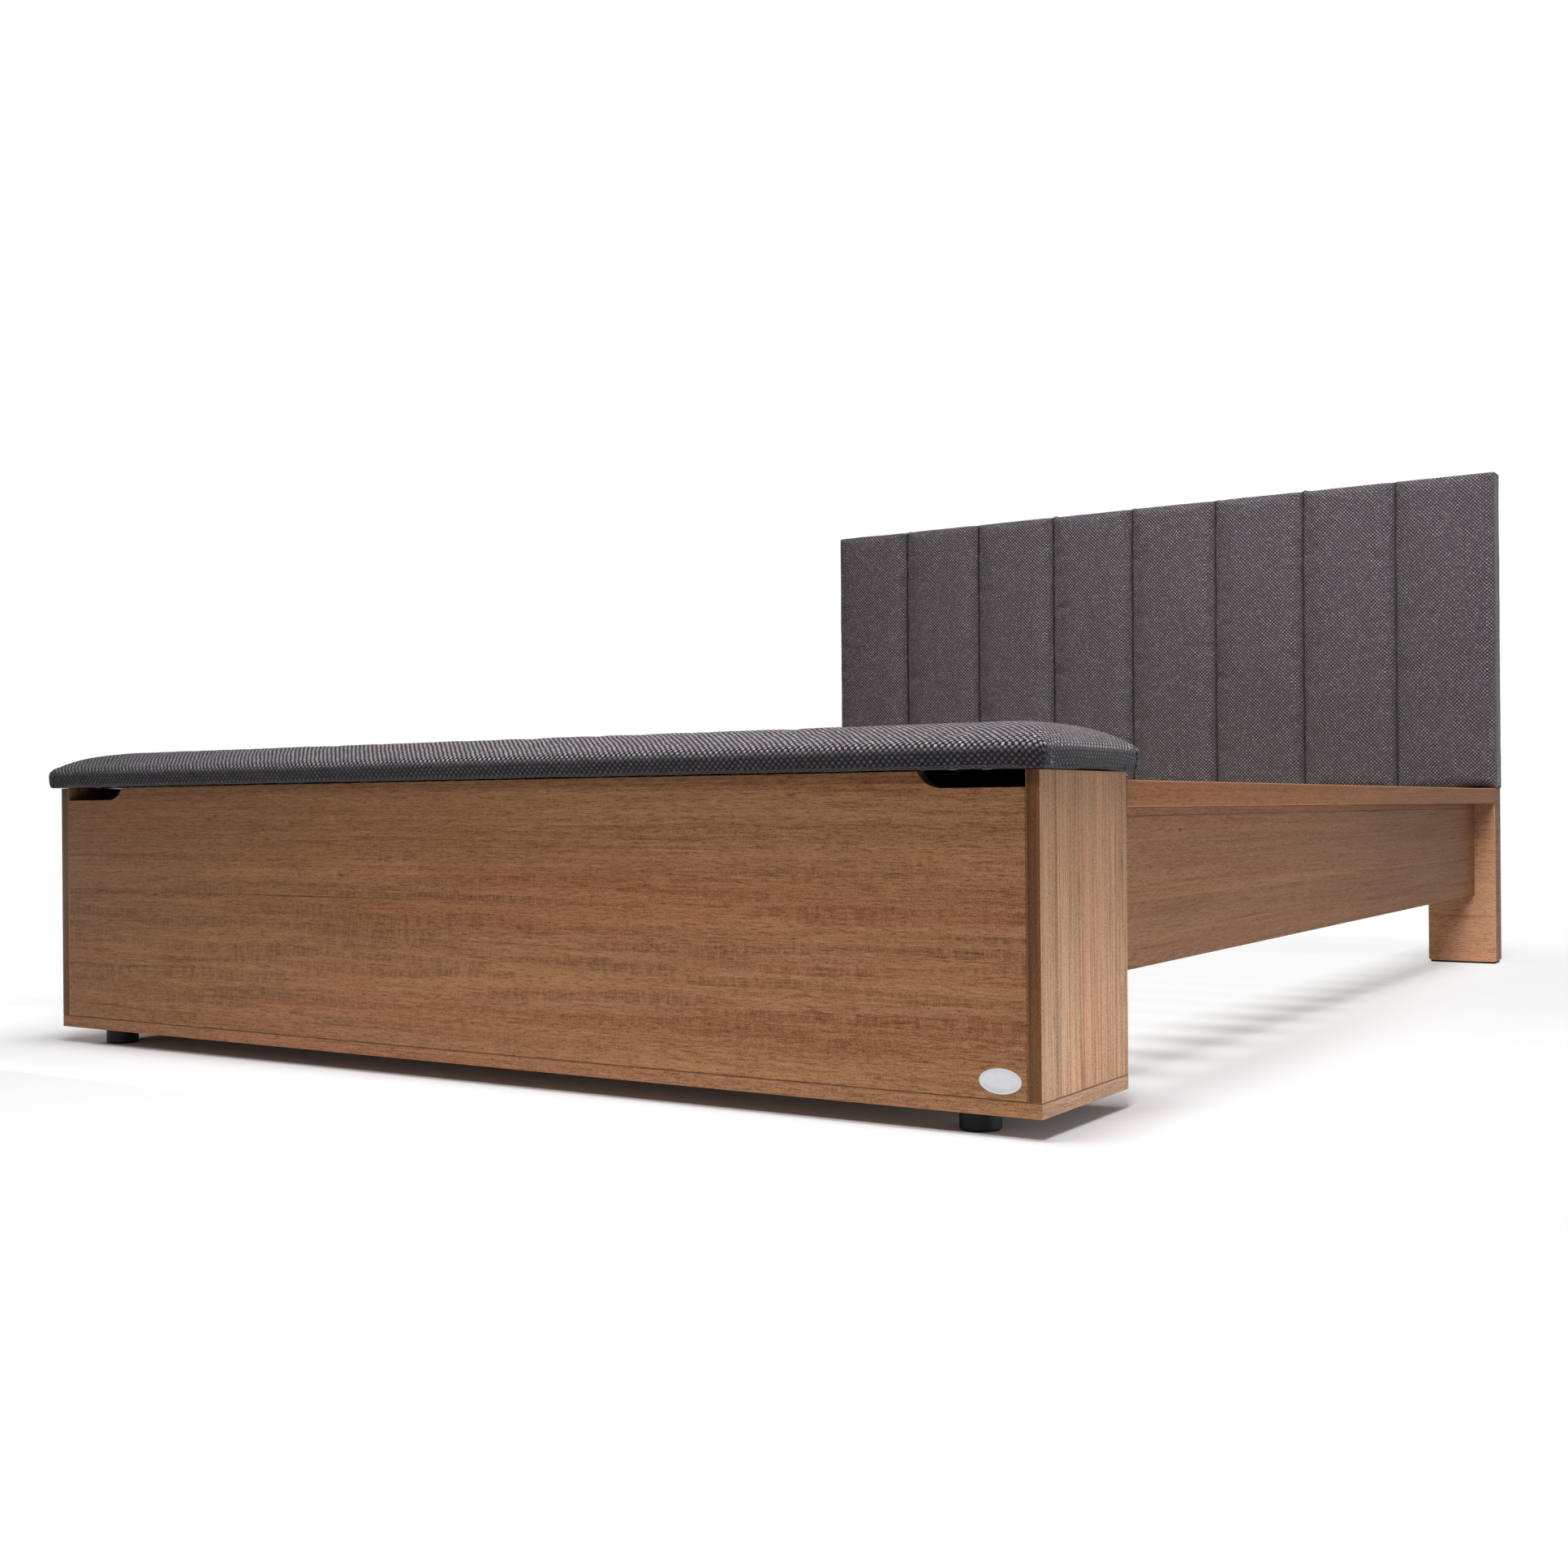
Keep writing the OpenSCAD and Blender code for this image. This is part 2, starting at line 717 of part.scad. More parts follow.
chest_bottom_panel();
chest_side(-1);  // chest_side_left
chest_side(1);  // chest_side_right
chest_front_panel();
chest_back_panel();
chest_feet();
lid_bumpers();
hinge_fixed_leaves();
hinge_pins();
hinge_lid_leaves();
lid_board();
lid_cushion();
rail_board(-1);  // rail_board_left
rail_board(1);  // rail_board_right
rail_cap(-1);  // rail_cap_left
rail_cap(1);  // rail_cap_right
slat_ledge(-1);  // slat_ledge_left
slat_ledge(1);  // slat_ledge_right
rail_brackets();
bracket_bolts();
centre_beam();
beam_brackets();
centre_legs();
centre_leg_glides();
slats();
headboard_leg(-1);  // headboard_leg_left
headboard_leg(1);  // headboard_leg_right
headboard_glides();
headboard_cross_rail();
headboard_board();
headboard_frame();
headboard_back_cover();
headboard_upholstery();
joining_plates();
plate_screws();
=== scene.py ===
"""Finishes, upholstery, small fasteners and stage for a bed whose footboard is a blanket chest.

Everything is in metres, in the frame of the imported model: +Y runs from the foot to the head,
+X to the right of someone who faces the bed from the foot, and +Z up. The veneered boards,
slats, brackets and hinges are the model's own nodes with finishes put on them. The lid's
cover and the headboard's cover are new meshes that stand for the two plain soft solids.
"""
import math
import random

import bpy
from mathutils import Euler, Matrix, Vector, noise
from mathutils.bvhtree import BVHTree


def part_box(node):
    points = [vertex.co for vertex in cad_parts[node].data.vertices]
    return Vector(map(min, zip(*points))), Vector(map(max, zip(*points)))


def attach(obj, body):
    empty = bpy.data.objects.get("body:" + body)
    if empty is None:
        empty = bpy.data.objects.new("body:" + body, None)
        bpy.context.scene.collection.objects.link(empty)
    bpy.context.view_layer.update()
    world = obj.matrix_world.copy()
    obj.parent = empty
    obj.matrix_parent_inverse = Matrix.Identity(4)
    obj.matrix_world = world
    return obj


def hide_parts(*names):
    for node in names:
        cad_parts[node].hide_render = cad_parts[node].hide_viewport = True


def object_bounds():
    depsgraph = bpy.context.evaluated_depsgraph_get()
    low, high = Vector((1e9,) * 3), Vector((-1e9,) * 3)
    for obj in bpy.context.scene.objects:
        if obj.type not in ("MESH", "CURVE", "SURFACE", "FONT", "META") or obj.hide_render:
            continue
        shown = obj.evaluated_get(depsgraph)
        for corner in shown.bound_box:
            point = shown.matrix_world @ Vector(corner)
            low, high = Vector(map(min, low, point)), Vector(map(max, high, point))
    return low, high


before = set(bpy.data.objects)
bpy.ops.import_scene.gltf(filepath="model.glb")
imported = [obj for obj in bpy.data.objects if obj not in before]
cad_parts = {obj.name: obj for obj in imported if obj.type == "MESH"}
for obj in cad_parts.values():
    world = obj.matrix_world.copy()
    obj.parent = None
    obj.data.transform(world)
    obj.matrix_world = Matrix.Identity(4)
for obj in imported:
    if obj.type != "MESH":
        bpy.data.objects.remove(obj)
cad_low, cad_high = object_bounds()

bl_info = {
    "name": "Blanket Chest Bed",
    "version": (1, 0, 0),
    "blender": (4, 5, 0),
    "location": "3D Viewport > Sidebar > Bed",
    "description": "Finishes and upholsters a bed that has a blanket chest as its footboard",
    "category": "Object",
}

MM = 0.001

# Boxes of the model's nodes that the new pieces are fitted to
LID_LOW, LID_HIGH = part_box("lid_cushion")
PAD_LOW, PAD_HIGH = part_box("headboard_upholstery")
FRONT_LOW, FRONT_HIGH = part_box("chest_front_panel")
CHEST_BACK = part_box("chest_back_panel")[1].y
LEG_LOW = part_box("headboard_leg_right")[0]
RAIL_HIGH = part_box("rail_board_right")[1]
LID_LEAF_LOW, LID_LEAF_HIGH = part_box("hinge_lid_leaves")
CHEST_LEAF_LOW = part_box("hinge_fixed_leaves")[0]
SLATS_LOW, SLATS_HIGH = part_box("slats")
CUPS_LOW, CUPS_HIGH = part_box("beam_brackets")
BACK_LOW, BACK_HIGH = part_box("headboard_back_cover")

# Half the width of a hinge leaf, and how far the two outer hinges are from the middle
LEAF_HALF = 38 * MM
OUTER_HINGE = LID_LEAF_HIGH.x - LEAF_HALF


def linear(code):
    """An sRGB hex colour as linear red, green and blue."""
    parts = [int(code[k:k + 2], 16) / 255 for k in (1, 3, 5)]
    return tuple(c / 12.92 if c <= 0.04045 else ((c + 0.055) / 1.055) ** 2.4 for c in parts)


# ---------------------------------------------------------------- settings

def length(label, about, metres):
    """A size that a user may change, in metres."""
    return bpy.props.FloatProperty(
        name=label, description=about, default=metres, min=0.0, precision=4,
        unit="LENGTH", subtype="DISTANCE")


def colour(label, about, code):
    """A colour that a user may change, given as an sRGB hex code."""
    return bpy.props.FloatVectorProperty(
        name=label, description=about, default=linear(code), min=0.0, max=1.0,
        size=3, subtype="COLOR")


class BedSizes(bpy.types.PropertyGroup):
    """Sizes of the cloth work and the small fasteners."""
    weave_cell: length("Weave cell", "Side of one bump of the basket weave", 3.75 * MM)
    border_height: length("Lid border", "Height of the lid's upright border", 23 * MM)
    crown_reach: length("Crown reach", "How far the lid's crown rises in from each end", 70 * MM)
    lid_corner: length("Lid corner", "Radius of the lid's corners seen from above", 4.5 * MM)
    groove_depth: length("Groove depth", "Depth of the headboard's sewn grooves", 8 * MM)
    groove_shoulder: length("Groove shoulder", "Reach of a groove to each side", 26 * MM)
    stitch_pitch: length("Stitch pitch", "Distance between stitches of the sewn grooves", 7 * MM)
    cloth_return: length("Cloth return", "Cloth that is turned under and stapled", 30 * MM)
    hem: length("Lining hem", "Edge of the lid's lining that is turned under", 12 * MM)
    staple_width: length("Staple width", "Width of the upholstery staples", 10 * MM)
    staple_pitch: length("Staple pitch", "Distance between staples", 38 * MM)
    plate_width: length("Plate width", "Width of the blank oval plate", 47 * MM)
    plate_height: length("Plate height", "Height of the blank oval plate", 26 * MM)


class BedColours(bpy.types.PropertyGroup):
    """Colours of the finishes."""
    walnut: colour("Walnut", "Mid tone of the long-grain veneer", "#936a4a")
    walnut_upright: colour("Walnut, upright", "Mid tone of the side panels' veneer", "#9f7859")
    cap_tone: colour("Cap", "Mid tone of the rail caps", "#8d5f3e")
    yarn_dark: colour("Dark yarn", "Dark yarn of the cloth", "#221f23")
    yarn_pale: colour("Pale yarn", "Pale yarn of the cloth", "#a59da3")
    pine_tone: colour("Pine", "Slats, ledges and beam", "#d8bc8e")
    plate_white: colour("Plate", "Pale enamel of the blank plate", "#c6c8ca")


# ---------------------------------------------------------------- nodes

def add(tree, kind, inputs=(), **settings):
    """Adds a shader node with its settings. inputs are values, or outputs to join to it, as a
    list in the node's own order, or as a dict by the input's number or name."""
    made = tree.nodes.new("ShaderNode" + kind)
    for name, value in settings.items():
        setattr(made, name, value)
    for key, value in inputs.items() if isinstance(inputs, dict) else enumerate(inputs):
        if isinstance(value, bpy.types.NodeSocket):
            tree.links.new(value, made.inputs[key])
        else:
            made.inputs[key].default_value = value
    return made


def grains(tree, place, scale, detail=2.0, rough=0.5, offset=(0.0, 0.0, 0.0)):
    """Noise with cells of 1 / scale along each axis of place, from about 0.25 to 0.75."""
    moved = add(tree, "VectorMath", [place, offset], operation="ADD").outputs[0]
    sized = add(tree, "VectorMath", [moved, scale], operation="MULTIPLY").outputs[0]
    inputs = {"Vector": sized, "Scale": 1.0, "Detail": detail, "Roughness": rough}
    return add(tree, "TexNoise", inputs).outputs["Fac"]


def rgba(value):
    """A colour with full alpha."""
    return (*value, 1.0)


def new_finish(name):
    """A new material with its node tree emptied to a shader and an output."""
    made = bpy.data.materials.new(name)
    made.use_nodes = True
    tree = made.node_tree
    tree.nodes.clear()
    shader = add(tree, "BsdfPrincipled")
    add(tree, "OutputMaterial", {"Surface": shader.outputs[0]})
    return made, tree, shader


def dress(tree, shader, base, relief, depth, strength, rough=None, **values):
    """Gives the shader its colour, a relief of that depth in metres, and a roughness if it varies.

    values are the same all over, and are set on the shader's own sockets, named with _ for a
    space.
    """
    raised = add(tree, "Bump", {"Height": relief, "Distance": depth, "Strength": strength})
    tree.links.new(base, shader.inputs["Base Color"])
    tree.links.new(raised.outputs["Normal"], shader.inputs["Normal"])
    if rough is not None:
        tree.links.new(rough, shader.inputs["Roughness"])
    for name, value in values.items():
        shader.inputs[name.replace("_", " ")].default_value = value


def times(tone, *shares):
    """A colour with each part multiplied by its share, or all by the one share."""
    if len(shares) == 1:
        shares *= 3
    return [min(1.0, c * f) for c, f in zip(tone, shares)]


# ---------------------------------------------------------------- finishes

def line_at(tree, value, level, half_width, depth):
    """depth where value is within half_width of level, 0 further off."""
    off = add(tree, "Math", [value, level], operation="SUBTRACT").outputs[0]
    off = add(tree, "Math", [off], operation="ABSOLUTE").outputs[0]
    return add(tree, "MapRange", [off, half_width * 0.5, half_width * 1.3, depth, 0.0]).outputs[0]


def mottled(tree, value, first, second):
    """A colour that goes from first to second with a noise value."""
    share = add(tree, "MapRange", [value, 0.3, 0.7]).outputs[0]
    inputs = {0: share, 6: rgba(first), 7: rgba(second)}
    return add(tree, "Mix", inputs, data_type="RGBA").outputs[2]


# Two cuts of veneer. Each has the frequency of its streaks along and across the grain, their
# contrast, the frequency of its fibres along the grain, and the depth of its pores.
CROWN_CUT = (3.0, 260.0, 0.4, 34.0, 0.68)
QUARTER_CUT = (0.9, 210.0, 0.85, 7.0, 0.25)

# Shares of the mid tone for the veneer's darkest and palest wood, and tints of its marks
DARK_WOOD, PALE_WOOD = (0.56, 0.49, 0.42), (1.34, 1.4, 1.45)
REDDISH, GOLDEN = (1.1, 0.88, 0.8), (0.97, 1.02, 0.9)
LINE_TINT, PORE_TINT, JOINT_TINT = (0.62, 0.52, 0.45), (0.5, 0.42, 0.36), (0.25, 0.2, 0.18)
CURL_TINT, TICK_TINT = (0.86, 0.84, 0.86), (0.8, 0.76, 0.75)
ALONG_AXIS = 0.75  # a face is an end or an edging when its normal is this close to an axis


def veneer(name, along, mid, seed, ripple=None, arris=0.0, joints=(), leaf=None, edging=None,
           knots=(), figure=1.0, shine=0.1, matt=0.58, cut=CROWN_CUT):
    """Walnut veneer on board, knife-sliced, sanded and lacquered satin: long fine streaks with
    short dark pores and a soft shine.

    along is the grain's axis, 0 to 2. ripple is (strength, height, reach) of the curl across the
    grain, and arris the strength of a painted highlight along the eased edges. joints are dark
    lines, each (axis, level, half width, depth). leaf is (height, tint) of a second leaf of veneer
    below that height. edging is (axis, tint) of the faces that face that axis: the side panels'
    darker edge strips, a painted sheen on the ends of the chest floor and cross rail, and painted
    shade on the legs' sides. knots are (place, reach along, reach across, tint) of pin knots.
    figure is the strength of the grain, shine the lacquer's specular level and matt its
    roughness. cut is CROWN_CUT, or QUARTER_CUT for long even lines.
    """
    made, tree, shader = new_finish(name)
    coord = add(tree, "TexCoord")
    place = add(tree, "SeparateXYZ", {0: coord.outputs["Object"]}).outputs
    facing = add(tree, "SeparateXYZ", {0: coord.outputs["Normal"]}).outputs
    second = (along + 1) % 3
    third = 3 - along - second
    # An end face has its own strip of veneer, with the grain along the strip
    lengthwise = add(tree, "Math", [facing[along]], operation="ABSOLUTE").outputs[0]
    on_end = add(tree, "Math", [lengthwise, ALONG_AXIS], operation="GREATER_THAN").outputs[0]
    run = add(tree, "Mix", {0: on_end, 2: place[along], 3: place[second]}).outputs[0]
    side = add(tree, "Mix", {0: on_end, 2: place[second], 3: place[along]}).outputs[0]
    spot = add(tree, "CombineXYZ", {0: run, 1: side, 2: place[third]}).outputs[0]
    offset = (seed * 1.7, seed * 0.31, seed * 0.77)
    # The lines wander by up to 5 mm over about a metre
    drift = grains(tree, spot, (1.1, 4.0, 4.0), 1.0, 0.5, offset)
    sway = add(tree, "Math", [drift, 0.5], operation="SUBTRACT").outputs[0]
    sway = add(tree, "Math", [sway, 20 * MM], operation="MULTIPLY").outputs[0]
    shift = add(tree, "CombineXYZ", {1: sway, 2: sway}).outputs[0]
    wood = add(tree, "VectorMath", [spot, shift], operation="ADD").outputs[0]

    def along_grain(length_wise, across, detail=1.0, rough=0.5, at=offset):
        """Noise of those frequencies along the wandering grain and across it."""
        return grains(tree, wood, (length_wise, across, across), detail, rough, at)

    # Bands 26 mm wide, streaks 4 mm wide, fibres 1.4 mm wide and a grit of lacquer over all
    streak_along, streak_across, contrast, fibre_along, pore_depth = cut
    bands = along_grain(0.9, 38.0, 3.0, 0.55)
    streaks = along_grain(streak_along, streak_across, 3.0, 0.6)
    fibres = along_grain(fibre_along, 700.0, 2.0, 0.6)
    grit = grains(tree, spot, (560.0, 560.0, 560.0), 1.0, 0.5, offset)
    tone = add(tree, "MapRange", [bands, 0.3, 0.7, -0.3, 0.3]).outputs[0]
    for layer, part in ((streaks, contrast), (fibres, 0.62), (grit, 0.62)):
        layer = add(tree, "MapRange", [layer, 0.25, 0.75, -part, part]).outputs[0]
        tone = add(tree, "Math", [tone, layer], operation="ADD").outputs[0]
    tone = add(tree, "Math", [tone, figure], operation="MULTIPLY").outputs[0]
    pale = times(mid, *PALE_WOOD)
    to_mid = add(tree, "MapRange", [tone, -0.95, 0.0]).outputs[0]
    to_pale = add(tree, "MapRange", [tone, 0.0, 0.95]).outputs[0]
    base = add(tree, "Mix", {0: to_mid, 6: rgba(times(mid, *DARK_WOOD)), 7: rgba(mid)},
               data_type="RGBA").outputs[2]
    base = add(tree, "Mix", {0: to_pale, 6: base, 7: rgba(pale)}, data_type="RGBA").outputs[2]
    cast = along_grain(0.8, 22.0, 2.0, at=(4.0, seed, 2.0))
    lines = along_grain(1.2, 60.0, at=(seed, 3.0, 1.0))
    paler = along_grain(1.5, 85.0, at=(seed, 8.0, 4.0))
    # Reddish and golden casts come and go from band to band
    red_share = add(tree, "MapRange", [cast, 0.5, 0.66, 0.0, 0.4]).outputs[0]
    gold_share = add(tree, "MapRange", [cast, 0.46, 0.34, 0.0, 0.5]).outputs[0]
    # Growth lines: long, thin and dark, with a few pale ones between
    line_share = line_at(tree, lines, 0.53, 0.005, 0.6)
    for share, tint in ((red_share, REDDISH), (gold_share, GOLDEN), (line_share, LINE_TINT)):
        base = add(tree, "Mix", {0: share, 6: base, 7: rgba(tint)}, data_type="RGBA",
                   blend_type="MULTIPLY").outputs[2]
    base = add(tree, "Mix", {0: line_at(tree, paler, 0.47, 0.005, 0.4), 6: base, 7: rgba(pale)},
               data_type="RGBA").outputs[2]
    # Pores are 8 mm long and 0.3 mm wide; drawn 1 mm wide so that they show
    pores = along_grain(95.0, 950.0)
    pits = add(tree, "MapRange", [pores, 0.56, 0.64, 0.0, pore_depth]).outputs[0]
    # Where the other marks lie, each with its tint, in the order in which they are laid on
    marks = [(pits, PORE_TINT)]
    if ripple:
        # Curl: upright ticks 4 to 5 mm apart inside flat patches a finger high
        strength, level, reach = ripple
        ticks = grains(tree, spot, (250.0, 60.0, 60.0), 2.0, 0.5, offset)
        patch = along_grain(3.4, 75.0, at=(seed, 9.0, 5.0))
        off = add(tree, "Math", [place[2], level], operation="SUBTRACT").outputs[0]
        near = add(tree, "Math", [off], operation="ABSOLUTE").outputs[0]
        in_patch = add(tree, "MapRange", [patch, 0.47, 0.58]).outputs[0]
        band = [near, reach * 0.5, reach, strength, strength * 0.3]
        in_reach = add(tree, "MapRange", band).outputs[0]
        in_tick = add(tree, "MapRange", [ticks, 0.44, 0.58]).outputs[0]
        where = add(tree, "Math", [in_patch, in_reach], operation="MULTIPLY").outputs[0]
        for share, tint in ((0.55, CURL_TINT), (in_tick, TICK_TINT)):
            marks.append((add(tree, "Math", [where, share], operation="MULTIPLY").outputs[0], tint))
    if leaf:
        level, tint = leaf
        border = [place[2], level - 0.6 * MM, level + 0.6 * MM, 1.0, 0.0]
        marks.append((add(tree, "MapRange", border).outputs[0], tint))
    # A tint on the faces that face one axis: the side panels' darker edge strips, a painted sheen on
    # the ends of the chest floor and cross rail, and painted shade on the legs' sides
    if edging:
        axis, tint = edging
        sideways = add(tree, "Math", [facing[axis]], operation="ABSOLUTE").outputs[0]
        strip = add(tree, "Math", [sideways, ALONG_AXIS], operation="GREATER_THAN").outputs[0]
        marks.append((strip, tint))
    for axis, level, half_width, depth in joints:
        marks.append((line_at(tree, place[axis], level, half_width, depth), JOINT_TINT))
    for knot, reach_along, reach_across, tint in knots:
        spots = [coord.outputs["Object"], knot]
        gap = add(tree, "VectorMath", spots, operation="SUBTRACT").outputs[0]
        shape = [1 / reach_across] * 3
        shape[along] = 1 / reach_along
        flat = add(tree, "VectorMath", [gap, shape], operation="MULTIPLY").outputs[0]
        away = add(tree, "VectorMath", {0: flat}, operation="LENGTH").outputs["Value"]
        marks.append((add(tree, "MapRange", [away, 0.3, 1.0, 1.0, 0.0]).outputs[0], tint))
    for share, tint in marks:
        base = add(tree, "Mix", {0: share, 6: base, 7: rgba(tint)}, data_type="RGBA",
                   blend_type="MULTIPLY").outputs[2]
    # Painted highlight: faces that lean away from every axis, along the eased edges, are blended
    # towards a pale tone
    if arris:
        widest = 0.0
        for part in facing:
            part = add(tree, "Math", [part], operation="ABSOLUTE").outputs[0]
            widest = add(tree, "Math", [widest, part], operation="MAXIMUM").outputs[0]
        highlight_share = add(tree, "MapRange", [widest, 0.8, 0.96, arris, 0.0]).outputs[0]
        edge_highlight = rgba([min(1.0, 1.7 * c + 0.02) for c in mid])
        base = add(tree, "Mix", {0: highlight_share, 6: base, 7: edge_highlight}, data_type="RGBA").outputs[2]
    relief = add(tree, "Math", [fibres, pits], operation="SUBTRACT").outputs[0]
    rough = add(tree, "MapRange", [streaks, 0.25, 0.75, matt + 0.05, matt - 0.05]).outputs[0]
    dress(tree, shader, base, relief, 0.1 * MM, 0.4, rough, IOR=1.5, Specular_IOR_Level=shine)
    return made


def basket_weave(name, dark, pale, cell, calm=0.0):
    """Polyester basket weave from a dark and a pale melange yarn: a chequer of pale bumps and
    dark hollows of the dark yarn, with painted shade in the gaps between the bumps, blackest where
    four bumps meet.

    The threads follow the attribute "cloth", whose first two numbers are the place on the flat
    cloth in metres. The third, from 0 to 1, is painted shade: it darkens the cloth on the lid's
    border and underside, in its fold creases and in and beside the headboard's seams, and evens
    out the chequer. calm, from 0 to 1, evens it out all over.
    """
    made, tree, shader = new_finish(name)
    flat = add(tree, "Attribute", attribute_name="cloth").outputs["Vector"]
    shade_share = add(tree, "SeparateXYZ", {0: flat}).outputs[2]
    # Hand-finished cloth never lies quite square: the threads wander by a millimetre
    wander = add(tree, "TexNoise", {"Vector": flat, "Scale": 30.0, "Detail": 1.0})
    wander = add(tree, "VectorMath", [wander.outputs["Color"], (0.5, 0.5, 0.5)],
                 operation="SUBTRACT").outputs[0]
    wander = add(tree, "VectorMath", [wander, [3.2 * MM] * 3], operation="MULTIPLY").outputs[0]
    laid = add(tree, "VectorMath", [flat, wander], operation="ADD").outputs[0]
    counted = add(tree, "VectorMath", [laid, [1.0 / cell] * 3], operation="MULTIPLY").outputs[0]
    u, v, _ = add(tree, "SeparateXYZ", {0: counted}).outputs
    column = add(tree, "Math", [u], operation="FLOOR").outputs[0]
    row = add(tree, "Math", [v], operation="FLOOR").outputs[0]
    number = add(tree, "Math", [column, row], operation="ADD").outputs[0]
    pale_up = add(tree, "Math", [number, 2.0], operation="FLOORED_MODULO").outputs[0]
    rounds = []
    for way in (u, v):
        share = add(tree, "Math", [way], operation="FRACT").outputs[0]
        turn = add(tree, "Math", [share, math.pi], operation="MULTIPLY").outputs[0]
        rounds.append(add(tree, "Math", [turn], operation="SINE").outputs[0])
    dome = add(tree, "Math", rounds, operation="MULTIPLY").outputs[0]
    dome = add(tree, "Math", [dome, 0.55], operation="POWER").outputs[0]
    rise = add(tree, "Mix", {0: pale_up, 2: 0.5, 3: 1.0}).outputs[0]
    height = add(tree, "Math", [dome, rise], operation="MULTIPLY").outputs[0]
    # Melange: every bump of the yarn has its own brightness and a slight cast of its own
    cells = add(tree, "CombineXYZ", {0: column, 1: row}).outputs[0]
    draw = add(tree, "TexWhiteNoise", {"Vector": cells}, noise_dimensions="2D")
    casts = add(tree, "Mix", {0: 0.1, 6: (1.0, 1.0, 1.0, 1.0), 7: draw.outputs["Color"]},
                data_type="RGBA").outputs[2]
    light = add(tree, "Math", [draw.outputs["Value"], 2.5], operation="POWER").outputs[0]
    light = add(tree, "MapRange", [light, 0.0, 1.0, 0.86, 1.4]).outputs[0]
    # Plies of the yarn, 1 mm apart and lying across the bump, and fuzz of single fibres
    plies = grains(tree, laid, (260.0, 900.0, 1.0), 2.0, 0.6)
    fuzz = grains(tree, laid, (1300.0, 1300.0, 1.0), 2.0, 0.6)
    slub = grains(tree, laid, (70.0, 110.0, 1.0), 2.0, 0.6)
    for layer, low, high, dark_most, light_most in ((plies, 0.25, 0.75, 0.72, 1.28),
                                                    (slub, 0.3, 0.7, 0.93, 1.07)):
        change = add(tree, "MapRange", [layer, low, high, dark_most, light_most]).outputs[0]
        light = add(tree, "Math", [light, change], operation="MULTIPLY").outputs[0]
    shade = add(tree, "CombineColor", {0: light, 1: light, 2: light}).outputs[0]
    # Where the cloth is pulled flat, its two yarns lie nearly level and look more alike; they are
    # evened out too where shade is painted
    even = add(tree, "MapRange", [shade_share, 0.0, 1.0, calm, calm + 0.4]).outputs[0]
    shown = add(tree, "Mix", {0: even, 2: pale_up, 3: 0.42}).outputs[0]
    yarn = add(tree, "Mix", {0: shown, 6: rgba(dark), 7: rgba(pale)}, data_type="RGBA").outputs[2]
    for layer in (shade, casts):
        yarn = add(tree, "Mix", {0: 1.0, 6: yarn, 7: layer}, data_type="RGBA",
                   blend_type="MULTIPLY").outputs[2]
    # Painted shade: the gaps between the bumps are darkened towards a sixth of the dark yarn's tone
    pit_shade = add(tree, "MapRange", [height, 0.12, 0.62, 0.88 * (1 - 0.6 * calm), 0.0]).outputs[0]
    pit_shade_tone = rgba(times(dark, 0.16))
    base = add(tree, "Mix", {0: pit_shade, 6: yarn, 7: pit_shade_tone}, data_type="RGBA").outputs[2]
    # Painted shade: the third number of "cloth" darkens the cloth towards a deep cool grey
    shade_darkening = add(tree, "MapRange", [shade_share, 0.0, 1.0, 0.0, 0.95]).outputs[0]
    base = add(tree, "Mix", {0: shade_darkening, 6: base, 7: rgba((0.13, 0.13, 0.15))},
               data_type="RGBA", blend_type="MULTIPLY").outputs[2]
    fuzz = add(tree, "Math", [fuzz, 0.3], operation="MULTIPLY").outputs[0]
    relief = add(tree, "Math", [height, fuzz], operation="ADD").outputs[0]
    dress(tree, shader, base, relief, 1.2 * MM, 0.9 - 0.5 * calm, Roughness=0.95,
          Specular_IOR_Level=0.15, Sheen_Weight=0.2, Sheen_Roughness=0.4)
    return made


def pine(name, tone):
    """Planed, untreated pine: pale, with soft orange growth lines and a dry surface."""
    made, tree, shader = new_finish(name)
    # The growth lines run along X, as the slats do, and lie closer over the height
    place = add(tree, "TexCoord").outputs["Object"]
    spot = add(tree, "VectorMath", [place, (1.0, 1.0, 2.2)], operation="MULTIPLY").outputs[0]
    lines = grains(tree, spot, (5.0, 90.0, 90.0), 2.0, 0.5)
    cloud = grains(tree, spot, (3.0, 9.0, 9.0), 2.0, 0.5, (3.0, 1.0, 7.0))
    fine = grains(tree, spot, (45.0, 500.0, 500.0), 2.0, 0.5)
    dark, base = rgba(times(tone, 0.74, 0.62, 0.46)), rgba(tone)
    for value, low, high, depth in ((lines, 0.42, 0.66, 0.7), (cloud, 0.35, 0.7, 0.22),
                                    (fine, 0.3, 0.7, 0.18)):
        share = add(tree, "MapRange", [value, low, high, 0.0, depth]).outputs[0]
        base = add(tree, "Mix", {0: share, 6: base, 7: dark}, data_type="RGBA").outputs[2]
    rough = add(tree, "MapRange", [fine, 0.3, 0.7, 0.6, 0.75]).outputs[0]
    dress(tree, shader, base, fine, 0.15 * MM, 0.4, rough, IOR=1.5)
    return made


def particle_board(name):
    """Raw particle board, pressed from chips: tan flakes a few millimetres long, dull."""
    made, tree, shader = new_finish(name)
    place = add(tree, "TexCoord").outputs["Object"]
    chips = add(tree, "TexVoronoi", {"Vector": place, "Scale": 420.0})
    chip_tone = add(tree, "SeparateColor", {0: chips.outputs["Color"]}).outputs[0]
    inputs = {0: chip_tone, 6: rgba(linear("#8f7350")), 7: rgba(linear("#c9ab80"))}
    base = add(tree, "Mix", inputs, data_type="RGBA").outputs[2]
    dress(tree, shader, base, chip_tone, 0.25 * MM, 0.5, Roughness=0.85)
    return made


